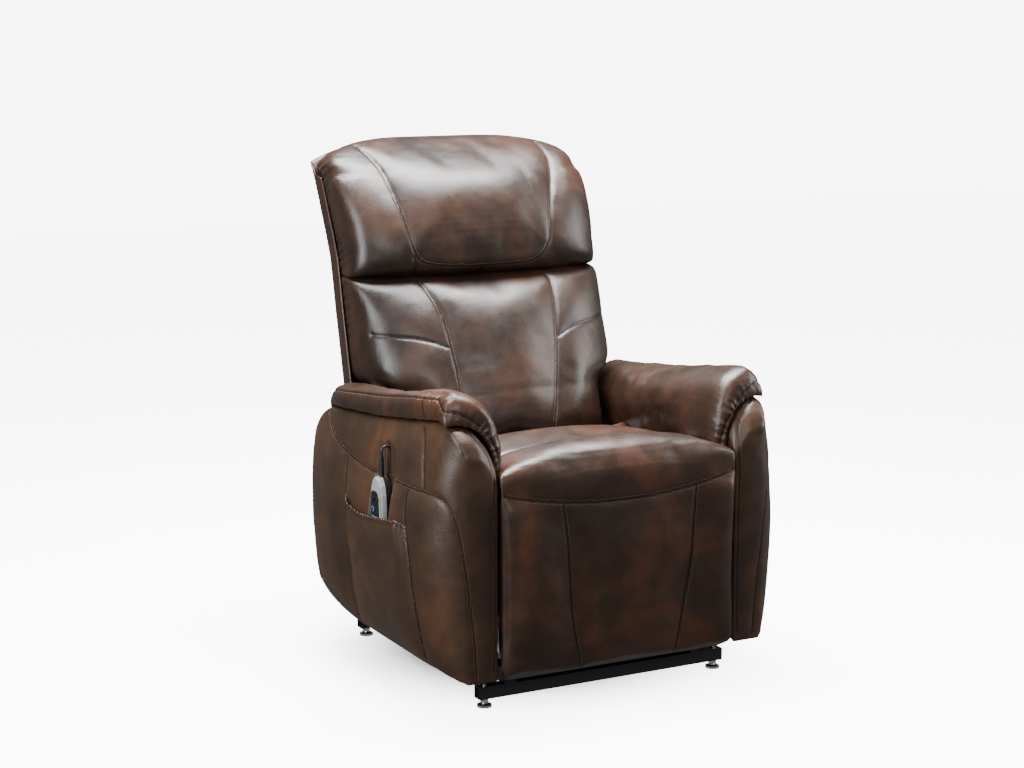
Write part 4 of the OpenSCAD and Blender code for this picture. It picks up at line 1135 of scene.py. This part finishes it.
# The leather stays inside the chair's width, and outside the handset
POCKET_OUT_X, POCKET_AT_HANDSET_X = -421, -418.4


def pocket_skin():
    """Patch pocket, gathered on elastic at its mouth: one sheet, about 300 x 260 mm, whose sides
    and foot lie in the arm's seams."""
    columns, rows = 170, 110
    u = np.linspace(0, 1, columns)[None, :]
    t = np.linspace(0, 1, rows)[:, None]
    rim_y = -283 + 283 * u
    mouth = smooth(*POCKET_MOUTH, rim_y) + 1.3 * np.sin(rim_y / 2.3 + 1.5 * np.sin(rim_y / 17))
    z = POCKET_LOW + (mouth - POCKET_LOW) * t
    fore, aft = np.interp(z, *POCKET_FRONT), np.interp(z, *POCKET_REAR)
    y = fore + (aft - fore) * u
    place, facing = onto(plain_side, row_of(-side_x(z).ravel(), y.ravel(), z.ravel()))
    edge = np.minimum(y - fore, aft - y)
    below = mouth - z
    soft = fade(edge, 0, 22)
    gather = np.sin(y / 1.9 + 2.1 * np.sin(y / 19)) + 0.6 * np.sin(y / 3.7 + 1)
    gather *= np.exp(-below / 11)
    fold = (np.sin(y / 13 + 0.5 + 0.8 * np.sin(z / 60)) * np.exp(-below / 80)
            * fade(below, 0, 12) * fade(y, -290, -60))
    bulge = 9.5 * fade(edge, 0, 60) * (0.15 + 0.85 * fade(t, 0.35, 0.95))
    rise = 0.5 + soft * (1.2 + bulge + 0.9 * gather + 1.6 * fold) * fade(t, 0, 0.06)
    rise = (rise - 0.7 * near(below - POCKET_STITCH_DOWN, 2.2) * soft).reshape(-1, 1)
    outer = place + facing * rise
    at_handset = (fade(np.abs(y - HANDSET_Y), 42, 29) * fade(z, 262, 283)).ravel()
    outer[:, 0] = np.clip(outer[:, 0], POCKET_OUT_X, POCKET_AT_HANDSET_X * at_handset)
    inner = outer - facing * POCKET_SHEET
    inner[:, 0] = np.minimum(inner[:, 0], (POCKET_AT_HANDSET_X + POCKET_SHEET) * at_handset)
    n, shift = columns, rows * columns
    faces = grid_faces(rows, columns, wrap_columns=False)
    faces += [tuple(shift + k for k in reversed(f)) for f in faces]
    rim = [(i * n + j, (i + 1) * n + j) for i in range(rows - 1) for j in (0, n - 1)]
    rim += [(i * n + j, i * n + j + 1) for j in range(n - 1) for i in (0, rows - 1)]
    faces += [(a, b, shift + b, shift + a) for a, b in rim]
    piece = mesh_piece("handset_pocket_leather", np.vstack([outer, inner]), faces, side_hide_painted_lit)
    # dark lines along the pocket's seams and its stitched-down mouth: partly dye, partly painted
    # shade of the seams' grooves
    seam = near(edge, 2.5) + 0.5 * near(below - POCKET_STITCH_DOWN, 3) * soft
    mark_seam_dye_and_shade(piece, np.tile(seam.ravel(), 2))
    return piece


pocket = pocket_skin()


# ---------------------------------------------------------------- handset
RING_Y, RING_Z = HANDSET_Y + 10, 377
PRINTED_LINE = ((-5, 360), (19, 361), (19, 362.4), (-5, 361.4))


def keypad_prints():
    """Thin prints on the keypad, a little proud so that they show: a ring on one button, and a
    line across below it."""
    points = []
    for x, r in ((-417.4, 4.2), (-417.7, 4.5), (-417.7, 5.2), (-417.4, 5.5)):
        for a in np.linspace(0, 2 * np.pi, 24, endpoint=False):
            points.append((x, RING_Y + r * math.cos(a), RING_Z + r * math.sin(a)))
    faces = grid_faces(4, 24, wrap_rows=True)
    first = len(points)
    for x in (-415.8, -416.4):
        points += [(x, HANDSET_Y + y, z) for y, z in PRINTED_LINE]
    faces += [tuple(first + k for k in f) for f in grid_faces(2, 4)]
    faces += [tuple(range(first, first + 4)), tuple(range(first + 7, first + 3, -1))]
    return mesh_piece("keypad_prints", points, faces, keypad_blue)


prints = keypad_prints()

# ---------------------------------------------------------------- stitching
# Each row lies a few millimetres to one side of its seam
back_rows = beside(head, head_lines[:1], 4)
for offset in (4, -4):
    back_rows += beside(lumbar, lumbar_lines[:2], offset)
back_stitches = stitches("back_stitches", back_rows)
arm_rows = []
for side, _ in SIDES:
    for offset in (-3.5, 3.5):
        arm_rows += beside(arms[side], arm_lines[side][:1], offset)
    arm_rows += beside(arms[side], arm_lines[side][2:3], 4 * side)
    arm_rows += beside(pads[side], [pad_lines[side][0]], 4 * side)
    arm_rows += beside(arms[side], arm_lines[side][3:], 3.5 * side)
arm_stitches = stitches("arm_stitches", arm_rows)
cover_rows = []
for offset in (-5, 5):
    cover_rows += beside(cover, cover_lines[:1], offset)
cover_rows += beside(cover, cover_lines[2:], 4)
cover_stitches = stitches("cover_stitches", cover_rows)

# ---------------------------------------------------------------- riding
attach(cord, "handset")
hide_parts("handset_cord")
for piece, node in ((head, "head_cushion"), (lumbar, "lumbar_cushion"),
                    (outside_back, "outside_back")):
    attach(piece, "back")
    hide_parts(node)
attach(back_stitches, "back")
for piece in (cover, cover_stitches):
    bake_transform(piece)
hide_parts("seat_cushion", "footrest_pad")
for side, word in SIDES:
    for piece, kind in ((arms[side], "cover"), (pads[side], "pad")):
        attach(piece, "chair")
        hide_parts(f"{word}_arm_{kind}")
for piece in (foam, arm_stitches, pocket):
    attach(piece, "chair")
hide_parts("handset_pocket")
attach(prints, "handset")

# ---------------------------------------------------------------- studio
# In metres and watts
FLOOR = 9
PAPER_GLOW = 7.0


def paper_glow_and_painted_shadow():
    """White paper that glows though it is no lamp; its glow fades to none under the chair as a
    painted shadow.
    """
    mat, tree, place = new_material("studio_floor_painted_shadow")
    reach = add(tree, "ShaderNodeVectorMath", {"operation": "LENGTH"}, i0=place).outputs["Value"]
    # glow nil within 0.2 m of the middle, full beyond 0.52 m: a painted shadow under the chair
    glow_with_painted_shadow = add(tree, "ShaderNodeMapRange", {"interpolation_type": "SMOOTHSTEP"}, Value=reach,
              From_Min=0.2, From_Max=0.52, To_Min=0.0, To_Max=PAPER_GLOW).outputs["Result"]
    return surface(mat, Base_Color=linear("#f4f4f4"), Roughness=0.9,
                   Emission_Color=linear("#ffffff"), Emission_Strength=glow_with_painted_shadow)


floor_mesh = bpy.data.meshes.new("floor")
floor_corners = [(x * FLOOR, y * FLOOR, 0) for x, y in ((-1, -1), (1, -1), (1, 1), (-1, 1))]
floor_mesh.from_pydata(floor_corners, [], [(0, 1, 2, 3)])
floor_mesh.materials.append(paper_glow_and_painted_shadow())
floor = placed("floor", floor_mesh)
# As if black flags kept the bright paper's light off the leather's lower half
floor.visible_glossy = False
floor.visible_diffuse = False

# White paper seen behind the chair, and a dim room around it
BACKDROP_LIGHT, ROOM_LIGHT = 7.4, 0.22
world = bpy.data.worlds.new("studio")
bpy.context.scene.world = world
world.use_nodes = True
studio = world.node_tree
studio.nodes.clear()
seen = add(studio, "ShaderNodeLightPath").outputs["Is Camera Ray"]
glow = maths(studio, "MULTIPLY_ADD", seen, BACKDROP_LIGHT, ROOM_LIGHT)
paper = add(studio, "ShaderNodeBackground", Color=linear("#ffffff"), Strength=glow)
add(studio, "ShaderNodeOutputWorld", Surface=paper.outputs["Background"])


def softbox(name, place, aim, size, watts):
    lamp = bpy.data.lights.new(name, "AREA")
    lamp.shape = "RECTANGLE"
    lamp.size, lamp.size_y = size
    lamp.energy = watts
    light = placed(name, lamp)
    light.location = place
    light.rotation_euler = (Vector(aim) - Vector(place)).to_track_quat("-Z", "Y").to_euler()


softbox("overhead_softbox", (0.1, 0.3, 2.7), (0, 0, 0.5), (2.0, 1.1), 380)
softbox("front_fill", (-1.2, -4.4, 2.6), (0, 0, 0.7), (2.4, 1.6), 80)
softbox("left_strip", (-2.6, -0.9, 1.5), (0, 0, 0.5), (1.0, 2.0), 110)
softbox("right_strip", (2.4, -0.9, 1.4), (0, 0, 0.5), (0.7, 2.0), 55)
